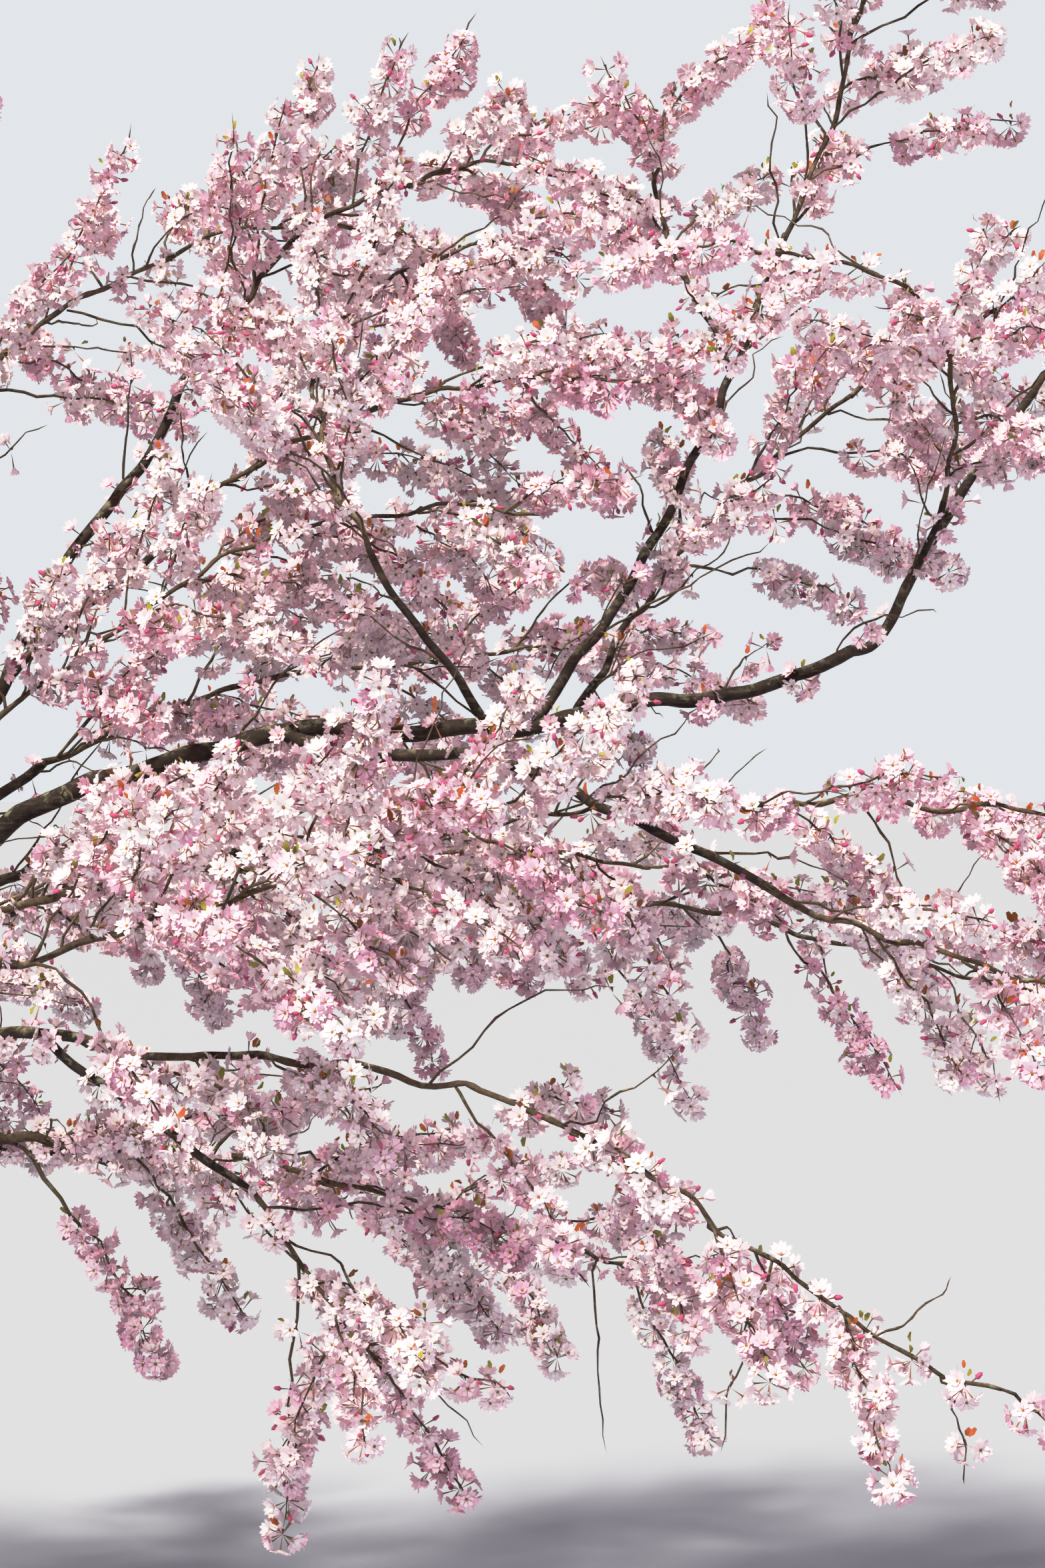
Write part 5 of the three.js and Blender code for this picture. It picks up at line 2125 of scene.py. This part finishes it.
class Finishes:
    """Every material of the tree."""

    def __init__(self) -> None:
        """Makes the shared groups and the materials."""
        self.made: dict[str, bpy.types.Material] = {}
        self.groups = {"bark": bark_group(BarkPattern()), "crinkle": crinkle_group()}
        self.bark_trunk = self.make_bark("Bark of the trunk", BARK_TRUNK)
        self.bark_bough = self.make_bark("Bark of the boughs", BARK_BOUGH)
        self.twig = self.make_bark("Bark of the twigs", BARK_TWIG)
        self.stalk = self.make_soft("Flower stalks", "#9c7052", 0.6, 0.1)
        self.spur = self.make_soft("Bud scales", "#6d3f24", 0.7, 0.2)
        self.leaf_green = self.make_soft("Young green leaves", "#98983f", 0.5, 0.15)
        self.leaf_bronze = self.make_soft("Young bronze leaves", "#a95f2b", 0.5, 0.15)
        self.bud = self.make_soft("Bud petals", "#c75a8b", 0.5, 0.1)
        self.eye = self.make_soft("Stamens", "#98732f", 0.6, 0.2)

    def start(self, name: str, code: str, roughness: float) -> tuple[bpy.types.Material, bpy.types.Node]:
        """Starts a material with a plain shader.

        Args:
            name: Its name.
            code: Hex code of its colour.
            roughness: Its roughness.

        Returns:
            The material and its shader node.
        """
        material = bpy.data.materials.new(name)
        material.use_nodes = True
        shader = material.node_tree.nodes["Principled BSDF"]
        shader.inputs["Base Color"].default_value = colour(code)
        shader.inputs["Roughness"].default_value = roughness
        self.made[name] = material
        return material, shader

    def make_plain(self, name: str, code: str, roughness: float) -> bpy.types.Material:
        """Makes a material of one colour.

        Args:
            name: Its name.
            code: Hex code of its colour.
            roughness: Its roughness.

        Returns:
            The material.
        """
        return self.start(name, code, roughness)[0]

    def make_soft(self, name: str, code: str, roughness: float, depth: float) -> bpy.types.Material:
        """Makes a material for petals and leaves, with their fine crinkle.

        Args:
            name: Its name.
            code: Hex code of its colour.
            roughness: Its roughness.
            depth: Strength of the crinkle.

        Returns:
            The material.
        """
        material, shader = self.start(name, code, roughness)
        shader.inputs["Specular IOR Level"].default_value = SOFT_GLOSS
        shader.inputs["Sheen Weight"].default_value = SOFT_SHEEN
        shader.inputs["Sheen Roughness"].default_value = SHEEN_ROUGHNESS
        tree = material.node_tree
        crinkle = add_node(tree, "ShaderNodeGroup", {}, node_tree=self.groups["crinkle"])
        links = {"Height": crinkle.outputs["Height"], "Strength": depth, "Distance": CRINKLE_DEPTH}
        tree.links.new(add_node(tree, "ShaderNodeBump", links).outputs[0], shader.inputs["Normal"])
        return material

    def make_bark(self, name: str, look: BarkLook) -> bpy.types.Material:
        """Makes a bark.

        Args:
            name: Its name.
            look: Its colours and pattern.

        Returns:
            The material.
        """
        material, shader = self.start(name, look.dark, BARK_ROUGHNESS)
        tree = material.node_tree
        links = {"Dark": colour(look.dark), "Light": colour(look.light), "Lichen": colour(look.lichen)}
        links |= {"Lichen share": look.lichen_and_sunlit_share, "Grain": look.grain, "Lenticels": look.lenticels}
        node = add_node(tree, "ShaderNodeGroup", links, node_tree=self.groups["bark"])
        shader.inputs["Specular IOR Level"].default_value = BARK_GLOSS
        links = {"Height": node.outputs["Height"], "Strength": BARK_BUMP, "Distance": BARK_DEPTH}
        bump = add_node(tree, "ShaderNodeBump", links)
        tree.links.new(node.outputs["Color"], shader.inputs["Base Color"])
        tree.links.new(node.outputs["Roughness"], shader.inputs["Roughness"])
        tree.links.new(bump.outputs[0], shader.inputs["Normal"])
        return material

    def flower(self, tone: Tone) -> list[bpy.types.Material]:
        """Returns the materials of a flower of a shade, in the order of its parts."""
        outer, inner, _ = tone.value
        names = (f"Outer petals {tone.name.lower()}", f"Inner petals {tone.name.lower()}")
        for name, code in zip(names, (outer, inner)):
            if name not in self.made:
                self.make_soft(name, code, PETAL_ROUGHNESS, PETAL_CRINKLE)
        return [self.made[names[0]], self.made[names[1]], self.eye]


@dataclass(frozen=True)
class Sun:
    """A soft sun: its name, where its light comes from, its strength, its width in degrees and its colour."""

    name: str
    source: tuple[float, float, float]
    power: float
    angle: float
    code: str


@dataclass(frozen=True)
class Studio:
    """The stage: floor, sky, lamps and camera, in metres.

    The glow lights the tree, and the wall is what the camera sees behind it.
    """

    floor_size: float = 600.0
    floor_code: str = "#b0bcc6"
    glow: tuple[str, float] = ("#e9d4dd", 0.47)
    wall: tuple[str, float] = ("#e3e8ee", 0.94)
    suns: tuple[Sun, ...] = (
        Sun("key", (-0.35, -0.55, 0.76), 5.0, 9.0, "#fff2e0"),
        Sun("fill", (0.7, -0.6, 0.35), 0.4, 50.0, "#f4e0f4"),
    )
    camera_spot: tuple[float, float, float] = (0.95, -5.35, 1.45)
    lens: float = 85.0
    sensor: float = 36.0
    sight: float = 1000.0
    tone_white: float = 1.7
    tone_curve: tuple[tuple[float, float], ...] = (
        (0.05, 0.07), (0.16, 0.205), (0.247, 0.375), (0.321, 0.56), (0.43, 0.77), (0.6, 0.915), (0.74, 0.965)
    )

    def set_up(self, finishes: Finishes) -> None:
        """Lays the floor and sets the light and the camera.

        Args:
            finishes: The materials.
        """
        bpy.ops.object.select_all(action="DESELECT")
        bpy.ops.mesh.primitive_plane_add(size=self.floor_size)
        floor = bpy.context.object
        floor.name = "floor"
        floor.data.materials.append(finishes.make_plain("Floor", self.floor_code, FLOOR_ROUGHNESS))
        floor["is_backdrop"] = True
        self.set_sky()
        for sun in self.suns:
            self.add_sun(sun)
        self.soften_highlights()
        self.set_camera()

    def set_sky(self) -> None:
        """Sets the glow that lights the tree and the wall that the camera sees."""
        world = bpy.data.worlds.new("Sky")
        bpy.context.scene.world = world
        world.use_nodes = True
        tree = world.node_tree
        glow = tree.nodes["Background"]
        glow.inputs["Color"].default_value = colour(self.glow[0])
        glow.inputs["Strength"].default_value = self.glow[1]
        links = {"Color": colour(self.wall[0]), "Strength": self.wall[1]}
        wall = add_node(tree, "ShaderNodeBackground", links)
        seen = tree.nodes.new("ShaderNodeLightPath").outputs["Is Camera Ray"]
        sky = add_node(tree, "ShaderNodeMixShader", {0: seen, 1: glow.outputs[0], 2: wall.outputs[0]})
        tree.links.new(sky.outputs[0], tree.nodes["World Output"].inputs[0])

    def soften_highlights(self) -> None:
        """Rolls the brightest tones off as film does, so that sunlit petals keep their form."""
        view = bpy.context.scene.view_settings
        view.view_transform = "Standard"
        view.use_curve_mapping = True
        view.curve_mapping.white_level = (self.tone_white,) * 3
        for tone in self.tone_curve:
            view.curve_mapping.curves[3].points.new(*tone)
        view.curve_mapping.update()

    def add_sun(self, sun: Sun) -> None:
        """Adds a lamp for a sun."""
        light = bpy.data.lights.new(sun.name, "SUN")
        light.energy, light.angle, light.color = sun.power, math.radians(sun.angle), colour(sun.code)[:3]
        lamp = bpy.data.objects.new(sun.name, light)
        lamp.rotation_euler = Vector(sun.source).to_track_quat("Z", "Y").to_euler()
        bpy.context.scene.collection.objects.link(lamp)

    def set_camera(self) -> None:
        """Sets the camera where the photograph was taken from."""
        lens = bpy.data.cameras.new("camera")
        lens.lens, lens.sensor_width, lens.sensor_fit = self.lens, self.sensor, "AUTO"
        lens.clip_end = self.sight
        camera = bpy.data.objects.new("camera", lens)
        camera.location = self.camera_spot
        camera.rotation_euler = (math.pi / 2, 0, 0)
        bpy.context.scene.collection.objects.link(camera)
        bpy.context.scene.camera = camera


def main() -> None:
    """Builds the tree over its solids and sets the stage."""
    logging.basicConfig(level=logging.INFO, format="%(message)s")
    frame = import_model()
    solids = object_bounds()
    log.info("solids to clothe: %d", len(frame["nodes"]))
    noise.seed_set(NOISE_SEED)
    growth = Growth()
    growth.grow()
    finishes = Finishes()
    pieces = Bark(growth).build(finishes) + BlossomMasses(growth, solids).build(finishes)
    for piece in pieces:
        piece.data.calc_loop_triangles()
        log.info("%s: %d triangles", piece.name, len(piece.data.loop_triangles))
    Studio().set_up(finishes)


if __name__ == "__main__":
    main()
